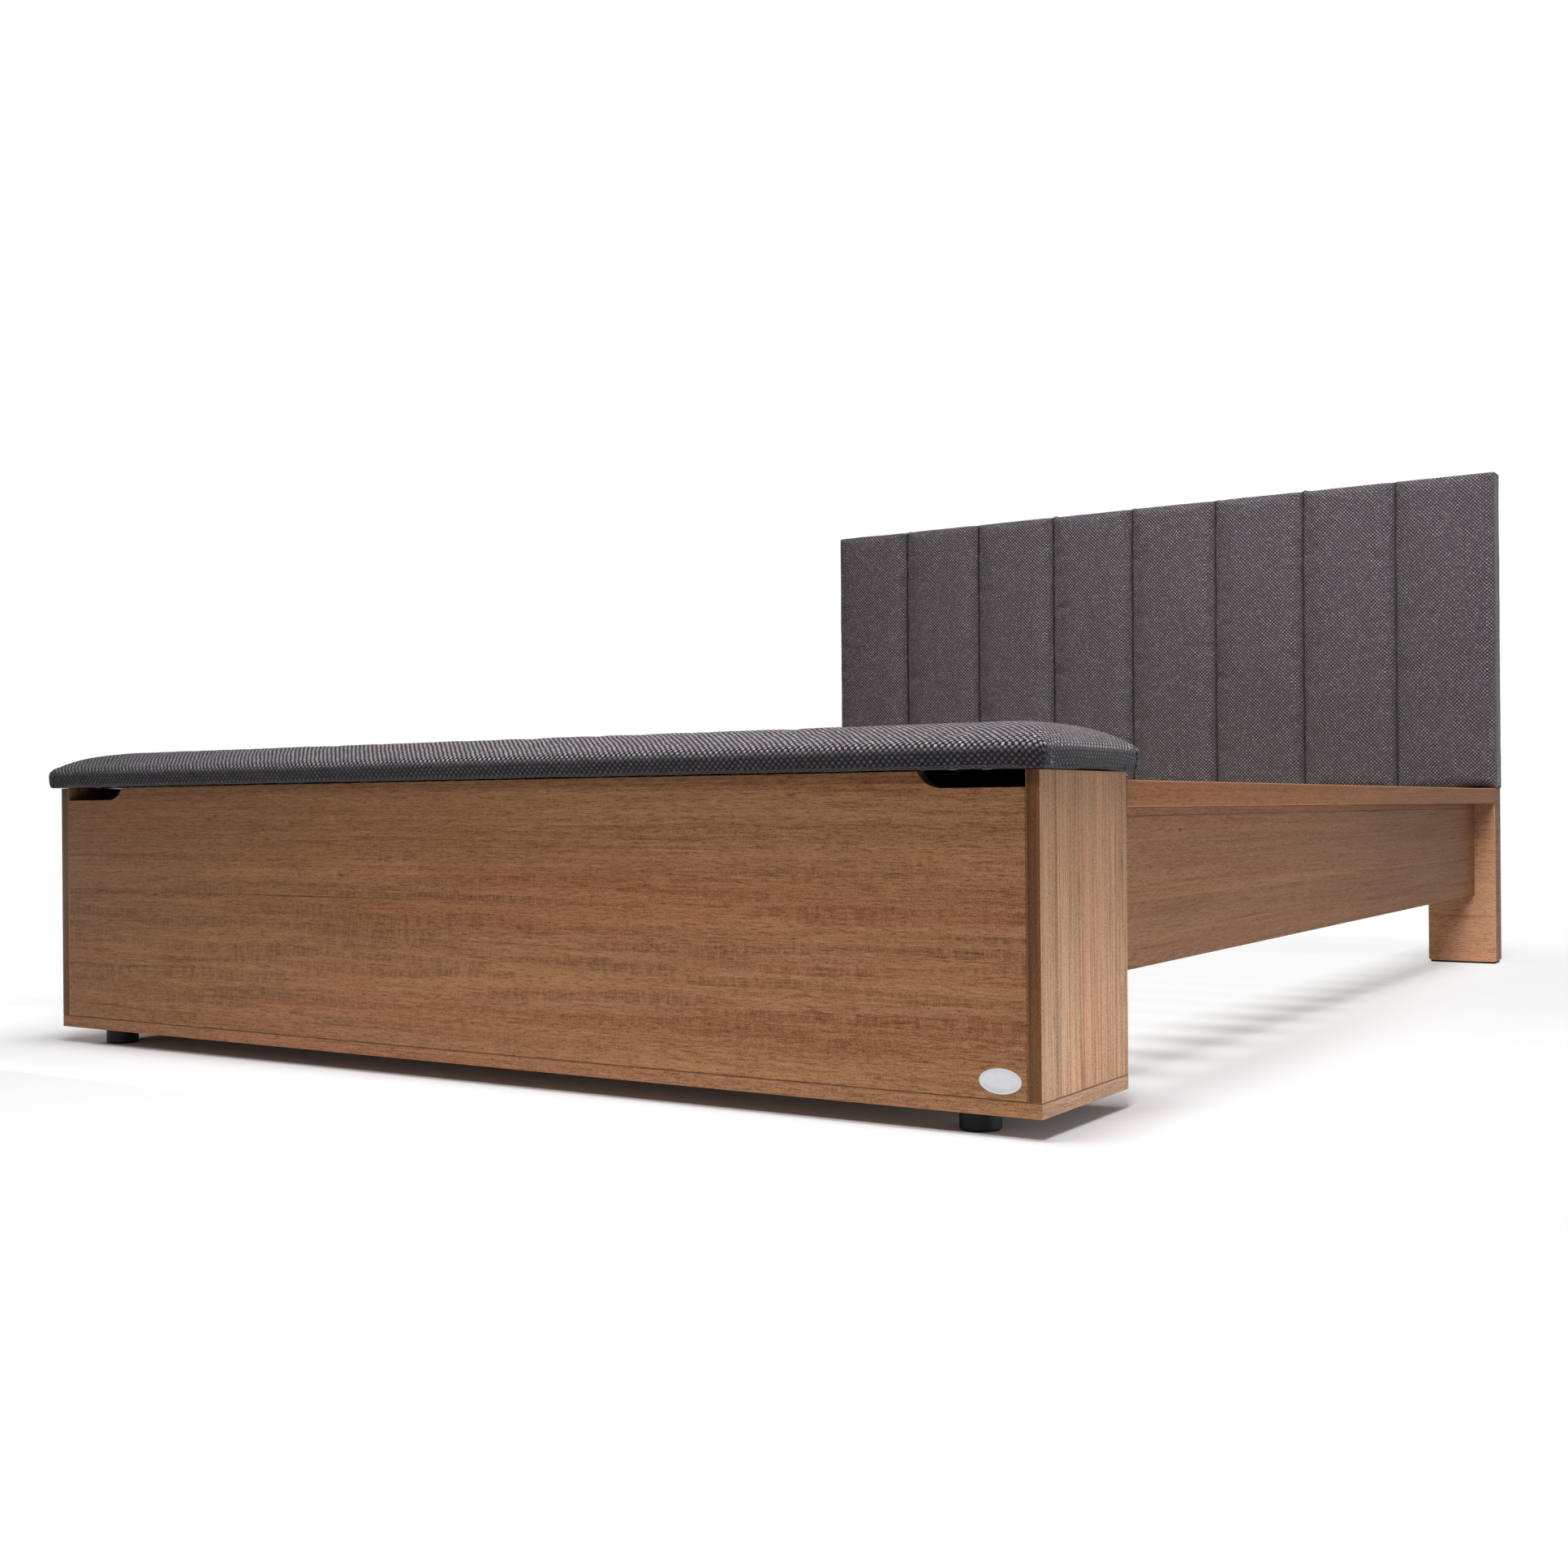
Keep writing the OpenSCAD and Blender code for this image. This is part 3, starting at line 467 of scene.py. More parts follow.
def spunbond(name):
    """Black spunbond polypropylene lining, hot-pressed in dots: flat, slightly hairy, dotted."""
    made, tree, shader = new_finish(name)
    place = add(tree, "TexCoord").outputs["Object"]
    dots = add(tree, "TexVoronoi", {"Vector": place, "Scale": 450.0, "Randomness": 0.15})
    hairs = grains(tree, place, (260.0, 700.0, 700.0), 3.0, 0.6)
    pressed = add(tree, "MapRange", [dots.outputs["Distance"], 0.1, 0.35]).outputs[0]
    base = mottled(tree, hairs, linear("#151516"), linear("#2c2c2e"))
    relief = add(tree, "Math", [pressed, hairs], operation="ADD").outputs[0]
    dress(tree, shader, base, relief, 0.25 * MM, 0.6, Roughness=0.8)
    return made


def zinc_steel(name):
    """Pressed steel, electroplated with zinc: bright grey, softly blotched, faint brush lines."""
    made, tree, shader = new_finish(name)
    place = add(tree, "TexCoord").outputs["Object"]
    bloom = grains(tree, place, (90.0, 90.0, 90.0), 3.0, 0.6)
    brush = grains(tree, place, (60.0, 60.0, 1500.0), 2.0, 0.5)
    base = mottled(tree, bloom, linear("#a9adb2"), linear("#cfd2d4"))
    rough = add(tree, "MapRange", [bloom, 0.3, 0.7, 0.3, 0.46]).outputs[0]
    dress(tree, shader, base, brush, 0.03 * MM, 0.4, rough, Metallic=1.0)
    return made


def moulded(name, code, grit, rough, clear=0.0, shine=0.5):
    """Moulded plastic or rubber: even colour with the mould's fine grit in its surface."""
    made, tree, shader = new_finish(name)
    place = add(tree, "TexCoord").outputs["Object"]
    spots = grains(tree, place, (grit, grit, grit), 2.0, 0.6)
    tone = linear(code)
    base = mottled(tree, spots, times(tone, 0.8), times(tone, 1.25))
    rough = add(tree, "MapRange", [spots, 0.3, 0.7, rough, rough + 0.1]).outputs[0]
    dress(tree, shader, base, spots, 0.05 * MM, 0.5, rough, IOR=1.46,
          Transmission_Weight=clear, Specular_IOR_Level=shine)
    return made


def enamelled_plate(name, tone):
    """Stamped steel plate with stoved white enamel: smooth, cool white, a little glossy."""
    made, tree, shader = new_finish(name)
    place = add(tree, "TexCoord").outputs["Object"]
    cloud = grains(tree, place, (120.0, 120.0, 120.0), 2.0, 0.5)
    base = mottled(tree, cloud, times(tone, 0.93), tone)
    dress(tree, shader, base, cloud, 0.04 * MM, 0.4, Roughness=0.28, Coat_Weight=0.3)
    return made


def yarn_fluff(name, code):
    """Spun yarn ends: matt, with a slight change of tone along each thread."""
    made, tree, shader = new_finish(name)
    place = add(tree, "TexCoord").outputs["Object"]
    change = grains(tree, place, (300.0, 300.0, 300.0), 2.0, 0.5)
    tone = linear(code)
    base = mottled(tree, change, times(tone, 0.6), tone)
    dress(tree, shader, base, change, 0.1 * MM, 0.5, Roughness=0.9)
    return made


def finish_nodes(material, *names):
    """Gives the model's own nodes this material."""
    for name in names:
        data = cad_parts[name].data
        data.materials.clear()
        data.materials.append(material)


# ---------------------------------------------------------------- mesh helpers

def bridge(near, far, flip=False):
    """Faces between two closed rings of the same number of points."""
    faces = []
    for k in range(len(near)):
        n = (k + 1) % len(near)
        face = [near[k], far[k], far[n], near[n]]
        faces.append([face[0], *face[:0:-1]] if flip else face)
    return faces


def grid_faces(nx, ny):
    """Faces of a grid whose point (i, j) has the number i * ny + j."""
    return [[i * ny + j, (i + 1) * ny + j, (i + 1) * ny + j + 1, i * ny + j + 1]
            for i in range(nx - 1) for j in range(ny - 1)]


def grid_rim(nx, ny):
    """The points round such a grid's border, in order."""
    return ([i * ny for i in range(nx)] + [(nx - 1) * ny + j for j in range(1, ny)]
            + [i * ny + ny - 1 for i in range(nx - 2, -1, -1)] + list(range(ny - 2, 0, -1)))


def numbers(ring, count):
    """Numbers of the points of that ring, where each ring has count points."""
    return list(range(ring * count, (ring + 1) * count))


class Shapes:
    """Collects many small shapes into one mesh."""

    def __init__(self):
        self.points, self.faces = [], []

    def take(self, points, faces, matrix=None):
        """Adds a shape, moved by matrix."""
        first = len(self.points)
        self.points += [matrix @ Vector(p) if matrix else Vector(p) for p in points]
        self.faces += [[first + k for k in face] for face in faces]

    def piece(self, name, material, slot, body):
        """The finished object."""
        return finished(name, self.points, self.faces, material, body)


def finished(name, points, faces, material, body):
    """An object from points and faces, smooth, with its finish and body."""
    mesh = bpy.data.meshes.new(name)
    mesh.from_pydata(points, [], faces)
    mesh.update()
    mesh.shade_smooth()
    mesh.materials.append(material)
    made = bpy.data.objects.new(name, mesh)
    bpy.context.scene.collection.objects.link(made)
    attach(made, body)
    return made


def tube(path, radius, sides=6, taper=1.0):
    """A closed tube along path. taper is the end's radius as a share of the start's."""
    points, faces = [], []
    path = [Vector(p) for p in path]
    for k, here in enumerate(path):
        ahead = path[min(k + 1, len(path) - 1)] - path[max(k - 1, 0)]
        turn = ahead.to_track_quat("Z", "Y")
        r = radius * (1 + (taper - 1) * k / (len(path) - 1))
        points += [here + turn @ Vector((r * math.cos(a), r * math.sin(a), 0))
                   for a in (2 * math.pi * s / sides for s in range(sides))]
    for k in range(len(path) - 1):
        faces += bridge(numbers(k, sides), numbers(k + 1, sides), flip=True)
    faces.append(numbers(0, sides)[::-1])
    faces.append(numbers(len(path) - 1, sides))
    return points, faces


def cross_head(radius, height, segments=24):
    """A domed screw head with a cross recess, its axis along Z and its base at 0."""
    rings = [0.0, 0.16, 0.34, 0.52, 0.6, 0.8, 0.94, 1.0]
    points = [(0, 0, height * 0.35)]
    faces = []
    for ring in rings[1:]:
        for s in range(segments):
            a = 2 * math.pi * s / segments
            z = height * (1 - 0.75 * ring ** 3)
            in_arm = abs(math.sin(2 * a)) < 0.3 / max(ring, 0.3)
            if ring < 0.56 and in_arm:
                z = height * 0.35
            r = radius * ring
            points.append((r * math.cos(a), r * math.sin(a), z))
    points += [(radius * math.cos(2 * math.pi * s / segments),
                radius * math.sin(2 * math.pi * s / segments), 0.0) for s in range(segments)]
    for s in range(segments):
        faces.append([0, 1 + s, 1 + (s + 1) % segments])
        for k in range(len(rings) - 1):
            a, b = 1 + k * segments, 1 + (k + 1) * segments
            faces.append([a + s, b + s, b + (s + 1) % segments, a + (s + 1) % segments])
    faces.append([1 + (len(rings) - 1) * segments + s for s in range(segments)][::-1])
    return points, faces


def staple(width):
    """An upholstery staple pressed home, its crown along X just above z = 0, legs going down."""
    half, rise = width / 2, 0.15 * MM
    path = [(-half, 0, -1.5 * MM), (-half, 0, -0.1 * MM), (-half + 0.4 * MM, 0, rise),
            (half - 0.4 * MM, 0, rise), (half, 0, -0.1 * MM), (half, 0, -1.5 * MM)]
    return tube(path, 0.32 * MM, 6)


def spread(low, high, pitch):
    """Evenly spaced places from low to high, about pitch apart."""
    count = max(1, round((high - low) / pitch))
    return [low + (high - low) * k / count for k in range(count + 1)]


def edge_fall(e, r):
    """How far a rounded edge of radius r has fallen at distance e from the border."""
    return 0.0 if e >= r else r - math.sqrt(max(0.0, r * r - (r - e) ** 2))


def arch(e, reach, fullness):
    """Rise of a stretched cover from 0 at its border to 1 at the distance reach."""
    return 1 - (1 - min(max(e, 0.0) / reach, 1)) ** fullness


def edge_places(half, steps, pitch):
    """Places from -half to half: the given steps from each end, then about pitch apart."""
    inner = spread(-half + steps[-1], half - steps[-1], pitch)
    return [-half + s for s in steps[:-1]] + inner + [half - s for s in steps[-2::-1]]


class Cover:
    """Cloth stretched over a padded board: a grid over its face, then rings that go down the
    border, turn under the edge and run inwards as the cloth's return.

    The flat plan has half sides hx and hy, and its corners are turned in radius r.
    """

    def __init__(self, hx, hy, r, xs, ys, relief, draw_in):
        self.hx, self.hy, self.r, self.draw_in = hx, hy, r, draw_in
        self.nx, self.ny = len(xs), len(ys)
        self.flat = [(x, y) for x in xs for y in ys]
        self.points = [Vector((*self.plan(x, y, 0.0), relief(x, y))) for x, y in self.flat]
        nx, ny = self.nx, self.ny
        across = [self.arcs(self.points[j::ny], xs) for j in range(ny)]
        along = [self.arcs(self.points[i * ny:(i + 1) * ny], ys) for i in range(nx)]
        self.cloth = [Vector((across[j][i], along[i][j], 0.0))
                      for i in range(nx) for j in range(ny)]
        self.faces = grid_faces(nx, ny)
        self.ring = grid_rim(nx, ny)
        self.rim_xy = [self.flat[k] for k in self.ring]

    @staticmethod
    def arcs(line, places):
        """Each point's place along the stretched line, 0 at the line's middle."""
        runs = [0.0]
        for before, after in zip(line, line[1:]):
            runs.append(runs[-1] + (after - before).length)
        middle = min(range(len(places)), key=lambda k: abs(places[k]))
        return [run - runs[middle] + places[middle] for run in runs]

    def plan(self, x, y, inset):
        """Where the plan point (x, y) lies when the outline is drawn in by inset."""
        hx, hy, r = self.hx, self.hy, self.r
        small = max(r - inset, 0.4 * MM)
        ax = max(abs(x) - (hx - r), 0.0) / r
        ay = max(abs(y) - (hy - r), 0.0) / r
        cx = min(abs(x), hx - r) / (hx - r) * (hx - inset - small)
        cy = min(abs(y), hy - r) / (hy - r) * (hy - inset - small)
        if ax > 0 and ay > 0:
            k = max(ax, ay) / math.hypot(ax, ay)
            ax, ay = ax * k, ay * k
        px = math.copysign(cx + ax * small, x)
        py = math.copysign(cy + ay * small, y)
        to_x, to_y = min(1.0, abs(px) / (hx - r)), min(1.0, abs(py) / (hy - r))
        return (px * (1 - self.draw_in / hx * (1 - to_y ** 4)),
                py * (1 - self.draw_in / hy * (1 - to_x ** 4)))

    def outward(self, x, y):
        """Direction away from the cloth's middle at a rim point, in the plan."""
        ax = math.copysign(max(abs(x) - (self.hx - self.r), 0.0), x)
        ay = math.copysign(max(abs(y) - (self.hy - self.r), 0.0), y)
        size = math.hypot(ax, ay) or 1.0
        return ax / size, ay / size

    def add_ring(self, inset, height, shift=None):
        """One more ring, at that inset and height. shift(x, y, height) moves its points."""
        fresh = []
        for k, (x, y) in enumerate(self.rim_xy):
            px, py = self.plan(x, y, inset)
            point = Vector((px, py, height))
            if shift:
                point += shift(x, y, height)
            self.points.append(point)
            before = self.ring[k]
            run = (point - self.points[before]).length
            out = self.outward(x, y)
            self.cloth.append(self.cloth[before] + Vector((out[0] * run, out[1] * run, 0.0)))
            fresh.append(len(self.points) - 1)
        self.faces += bridge(self.ring, fresh)
        self.ring = fresh

    def build(self, name, place, material, body):
        """The cover as an object. place(point) takes a point of the plan into the frame."""
        world = [place(p) for p in self.points]
        first = self.faces[0]
        normal = (world[first[1]] - world[first[0]]).cross(world[first[3]] - world[first[0]])
        outer = place(Vector((0, 0, 1))) - place(Vector((0, 0, 0)))
        faces = self.faces if normal.dot(outer) > 0 else [face[::-1] for face in self.faces]
        made = finished(name, world, faces, material, body)
        layer = made.data.attributes.new("cloth", "FLOAT_VECTOR", "POINT")
        for k, value in enumerate(self.cloth):
            layer.data[k].vector = value
        return made


def swell(piece, fixed, pressure, slack, cap, frames=20):
    """Lets the foam press the cloth out between the points where it is held.

    The cloth is simulated with its held points pinned, and no point may move further than cap.
    """
    scene = bpy.context.scene
    group = piece.vertex_groups.new(name="held")
    group.add(fixed, 1.0, "REPLACE")
    cloth = piece.modifiers.new("foam pressure", "CLOTH")
    cloth.settings.vertex_group_mass = group.name
    cloth.settings.quality = 5
    cloth.settings.mass = 0.3
    cloth.settings.tension_stiffness = 15
    cloth.settings.compression_stiffness = 15
    cloth.settings.bending_stiffness = 0.6
    cloth.settings.use_pressure = True
    cloth.settings.uniform_pressure_force = pressure
    cloth.settings.shrink_min = -slack
    cloth.settings.effector_weights.gravity = 0.0
    cloth.point_cache.frame_start, cloth.point_cache.frame_end = 1, frames
    for number in range(1, frames + 1):
        scene.frame_set(number)
    graph = bpy.context.evaluated_depsgraph_get()
    settled = [v.co.copy() for v in piece.evaluated_get(graph).data.vertices]
    piece.modifiers.remove(cloth)
    piece.vertex_groups.remove(group)
    scene.frame_set(1)
    for vertex, moved in zip(piece.data.vertices, settled):
        step = moved - vertex.co
        if step.length > cap:
            step *= cap / step.length
        vertex.co += step
    piece.data.update()


def refine(piece):
    """Subdivides the mesh for good, so that finer shaping can follow."""
    modifier = piece.modifiers.new("finer", "SUBSURF")
    modifier.levels = modifier.render_levels = 1
    graph = bpy.context.evaluated_depsgraph_get()
    finer = bpy.data.meshes.new_from_object(piece.evaluated_get(graph))
    piece.modifiers.remove(modifier)
    old = piece.data
    piece.data = finer
    finer.name = piece.name
    bpy.data.meshes.remove(old)


def uneven(piece, amount, cell, seed):
    """Moves the surface in and out by a soft noise of that cell size."""
    mesh = piece.data
    normals = [v.normal.copy() for v in mesh.vertices]
    shift = Vector((seed * 3.1, seed * 1.3, seed * 2.7))
    for vertex, normal in zip(mesh.vertices, normals):
        vertex.co += normal * amount * noise.noise(vertex.co / cell + shift)
    mesh.update()


# ---------------------------------------------------------------- upholstery

EDGE_STEPS = [s * MM for s in (0, 1, 2.4, 4.2, 6.4, 9, 11.2, 11.9, 12.5, 13.6, 17)]

# Each end face of the lid has a fold of cloth that ends this far from the corner
FOLD_END = 12.2 * MM

# Width of the strip at each end of the lid where its cloth lies over the chest's side panels
END_ZONE = 30 * MM


def step_down(value, low, high):
    """1 below low and 0 above high, with a soft change between."""
    t = min(1.0, max(0.0, (value - low) / (high - low)))
    return 1 - t * t * (3 - 2 * t)


def bell(offset, width):
    """1 at offset 0, with a soft fall to nothing over a few widths to each side."""
    return math.exp(-(offset / width) ** 2)


def under_drop(x, y, hx, hy):
    """How far the cloth hangs below the lid's underside at a point of the plan."""
    at_back = hy - y < 30 * MM
    if at_back and hx - abs(x) > END_ZONE:
        # Flat where the hinges' leaves lie on it, and down on the back panel between them
        off_leaf = min(abs(abs(x) - leaf) for leaf in (0.0, OUTER_HINGE))
        return 2.3 * MM - 2.2 * MM * step_down(off_leaf, 39.5 * MM, 44 * MM)
    if hx - abs(x) > END_ZONE:
        return 0.9 * MM
    # At the ends the folded corners hang low, and the cloth between them is pulled tight
    front_fold = step_down(y + hy, 88 * MM, 95 * MM)
    back_fold = step_down(hy - y, 33 * MM, 38 * MM)
    return 0.2 * MM + 1.5 * MM * max(front_fold, back_fold)


def lid_cover(sizes, material):
    """The lid's cover: a border that rolls under, a ridge along its top and a low crown."""
    hx, hy = LID_HIGH.x, (LID_HIGH.y - LID_LOW.y) / 2
    middle = Vector((0, (LID_HIGH.y + LID_LOW.y) / 2, LID_LOW.z))
    crown = LID_HIGH.z - LID_LOW.z - sizes.border_height
    ridge = 6 * MM

    def relief(x, y):
        ex, ey = hx - abs(x), hy - abs(y)
        e = min(ex, ey)
        lip = 0.7 * MM * bell(e - 5 * MM, 3.5 * MM) * step_down(ey, ex, ex + 9 * MM)
        slack_x, slack_y = 1 - arch(ex, sizes.crown_reach, 3.3), 1 - arch(ey, hy, 3.4)
        rise = max(0.0, 1 - (slack_x ** 6 + slack_y ** 6) ** (1 / 6))
        return sizes.border_height + crown * rise - edge_fall(e, ridge) + lip

    xs = edge_places(hx, EDGE_STEPS, 8 * MM)
    ys = edge_places(hy, EDGE_STEPS, 7.5 * MM)
    cover = Cover(hx, hy, sizes.lid_corner, xs, ys, relief, 0.8 * MM)
    # Down the border, which leans in a little towards its foot, then round the lower edge
    for height, inset in ((14.0, 0.0), (10.5, 0.2), (7.5, 0.7)):
        cover.add_ring(inset * MM, height * MM)
    roll = 4.5 * MM

    def rolled(share):
        """Shift of a ring of the lower edge: lifted off the chest but for the folded corners."""
        def shift(x, y, height):
            at_end = hx - abs(x) < END_ZONE
            lift = 2.3 * MM if at_end else 1.4 * MM
            at_fold = at_end and under_drop(x, y, hx, hy) > 1 * MM
            low = under_drop(x, y, hx, hy) if at_fold else -lift
            return Vector((0, 0, -share * (roll + low)))
        return shift

    for step in range(1, 6):
        a = math.radians(18 * step)
        cover.add_ring(1.1 * MM + roll * (1 - math.cos(a)), roll, rolled(math.sin(a)))
    cover.add_ring(7.6 * MM, -0.4 * MM)
    cover.add_ring(10 * MM, 0.0, lambda x, y, h: Vector((0, 0, -under_drop(x, y, hx, hy))))

    def pressed(x, y, height):
        """Shift of the cloth's return, which is padded where it closes on the side panels."""
        at_end = hx - abs(x) < END_ZONE
        return Vector((0, 0, -1.9 * MM if at_end else -under_drop(x, y, hx, hy)))

    cover.add_ring(17 * MM, -0.6 * MM)
    cover.add_ring(21 * MM, 0.0, pressed)
    cover.add_ring(25 * MM, 0.0, pressed)
    cover.add_ring(sizes.cloth_return, -0.1 * MM)
    made = cover.build("lid_cover", lambda p: p + middle, material, "lid")
    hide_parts("lid_cushion")
    face = cover.nx * cover.ny
    held = [k for k, p in enumerate(cover.points)
            if k >= face or min(hx - abs(p.x), hy - abs(p.y)) < 9 * MM]
    swell(made, held, 1.2, 0.003, 3 * MM)
    refine(made)
    fold_corners(made, hx, hy, middle)
    uneven(made, 0.5 * MM, 60 * MM, 1)
    uneven(made, 0.3 * MM, 14 * MM, 2)
    return made


def fold_corners(piece, hx, hy, middle):
    """The cloth's corners: folded flat on the end faces, with a sharp upright edge each, and painted
    shade on the border, beside each fold and on the tight underside at the ends.
    """
    mesh = piece.data
    layer = mesh.attributes["cloth"].data
    for vertex, place in zip(mesh.vertices, layer):
        ex = hx - abs(vertex.co.x)
        ey = hy - abs(vertex.co.y - middle.y)
        rise = vertex.co.z - middle.z
        if rise < 16 * MM and ex < END_ZONE or ex < 3 * MM:
            near = step_down(ex, 3 * MM, 10 * MM)
            thick = min(1.0, max(0.0, ey / (6 * MM))) * step_down(ey, FOLD_END - 0.7 * MM, FOLD_END)
            vertex.co.x += math.copysign(1.1 * MM * thick * near, vertex.co.x)
        # Behind the front fold the ends are stuffed a little fuller
        fuller = 2.6 * MM * step_down(ex, 4 * MM, 18 * MM)
        fuller *= 1 - step_down(vertex.co.y - middle.y + hy, 10 * MM, 70 * MM)
        vertex.co.x += math.copysign(fuller, vertex.co.x)
        # Painted shade, through the third number of "cloth": the border is darkened, and so are a
        # thin crease beside each fold's edge and the tight underside at the ends
        border_shade = step_down(rise, 15 * MM, 22 * MM)
        crease_shade = bell(ey - FOLD_END - 0.3 * MM, 0.7 * MM) if ex < 4 * MM else 0.0
        drop = under_drop(vertex.co.x, vertex.co.y - middle.y, hx, hy)
        if 3 * MM < ex < END_ZONE and drop < 0.5 * MM:
            crease_shade = max(crease_shade, 1.2 * step_down(rise, 1.0 * MM, 2.4 * MM))
        flat = place.vector
        place.vector = (flat.x, flat.y, min(1.0, 0.9 * border_shade + 0.8 * crease_shade))
    mesh.update()


def loose_thread(draw, start, lean, reach, radius):
    """A frayed end of yarn that leaves start in the direction lean and curls."""
    points, here = [], Vector(start)
    heading = Vector(lean).normalized()
    steps = 7
    for _ in range(steps):
        points.append(here.copy())
        curl = Euler([draw.uniform(-0.5, 0.5) for _ in range(3)])
        heading.rotate(curl)
        here += heading * reach / steps
    return tube(points, radius, 5, 0.4)


def corner_threads(material):
    """Frayed yarn along the folded edges of the lid's four corners."""
    draw = random.Random(11)
    shapes = Shapes()
    for side in (-1, 1):
        for end in (-1, 1):
            y = (LID_LOW.y + FOLD_END) if end < 0 else (LID_HIGH.y - FOLD_END)
            for _ in range(7):
                start = (side * (LID_HIGH.x + 0.2 * MM), y + draw.uniform(-0.6, 0.6) * MM,
                         LID_LOW.z + draw.uniform(2, 20) * MM)
                lean = (side * 0.45, -end * draw.uniform(0.1, 1.0), draw.uniform(-1, 0.6))
                shapes.take(*loose_thread(draw, start, lean, draw.uniform(4, 9) * MM, 0.3 * MM))
    return shapes.piece("lid_corner_threads", material, "charcoal_weave", "lid")


def staples(name, seed, sizes, low, high, inset, ends, lay, steel, body):
    """Staples round a rectangle with the corners low and high, at that inset from its edges.

    ends are how far from the corners the rows start, along each axis. lay(u, v, spin) is the
    matrix of a staple at the place (u, v) with the turn spin.
    """
    draw = random.Random(seed)
    shapes = Shapes()
    pitch = sizes.staple_pitch
    sites = [(u, v, 0.0) for v in (low[1] + inset, high[1] - inset)
             for u in spread(low[0] + ends[0], high[0] - ends[0], pitch)]
    sites += [(u, v, 90.0) for u in (low[0] + inset, high[0] - inset)
              for v in spread(low[1] + ends[1], high[1] - ends[1], pitch)]
    for u, v, turn in sites:
        spin = Matrix.Rotation(math.radians(turn + draw.uniform(-9, 9)), 4, "Z")
        matrix = lay(u, v + draw.uniform(-1, 1) * MM, spin)
        shapes.take(*staple(sizes.staple_width), matrix)
    shapes.piece(name, steel, "zinc_plated_steel", body)


def lid_lining(sizes, cloth, steel):
    """Black lining under the lid, its hem turned under and stapled over the cover's return."""
    half_x = LID_HIGH.x - 22 * MM
    front, back = LID_LOW.y + 22 * MM, LID_LEAF_LOW.y - 2 * MM
    level, hem_level = LID_LOW.z - 1.05 * MM, LID_LOW.z - 0.65 * MM
    xs, ys = spread(-half_x, half_x, 12 * MM), spread(front, back, 9 * MM)
    points = [Vector((x, y, level + 0.15 * MM * noise.noise(Vector((x, y, 3.0)) / (45 * MM))))
              for x in xs for y in ys]
    faces = [[a, d, c, b] for a, b, c, d in grid_faces(len(xs), len(ys))]
    ring = grid_rim(len(xs), len(ys))
    centre_y = (front + back) / 2
    rim = [points[k].copy() for k in ring]
    for out, height in ((0.25, 0.1), (0.3, 0.25), (0.0, 0.4), (-3, 0.4), (-sizes.hem / MM, 0.4)):
        fresh = []
        for edge in rim:
            grow_x = (half_x + out * MM) / half_x
            grow_y = (back - centre_y + out * MM) / (back - centre_y)
            fresh.append(len(points))
            points.append(Vector((edge.x * grow_x, centre_y + (edge.y - centre_y) * grow_y,
                                  level + height * (hem_level - level) / 0.4)))
        faces += bridge(ring, fresh, flip=True)
        ring = fresh
    lining = finished("lid_lining", points, faces, cloth, "lid")

    def driven_up(x, y, spin):
        """Matrix of a staple that is driven up through the lining."""
        return (Matrix.Translation((x, y, level - 0.1 * MM)) @ spin
                @ Matrix.Rotation(math.pi, 4, "X"))

    staples("lid_staples", 5, sizes, (-half_x, front), (half_x, back), 6 * MM,
            (16 * MM, 20 * MM), driven_up, steel, "lid")


def groove_pull(offset, shoulder):
    """Pull of a sewn groove: 1 in the groove and 0 beyond its shoulder."""
    offset = abs(offset)
    return 0.0 if offset >= shoulder else (1 - offset / shoulder) ** 2


CHANNELS = 8
SEAM_SHIFT = -3.5 * MM

# The cover sits a little to the left of the board, as hand work does
COVER_SHIFT = -2.5 * MM


def seam_wave(seam, height):
    """How far a seam strays sideways at that height, as machine sewing does."""
    return 1.1 * MM * noise.noise(Vector((seam * 7, 0.5, height / (90 * MM))))


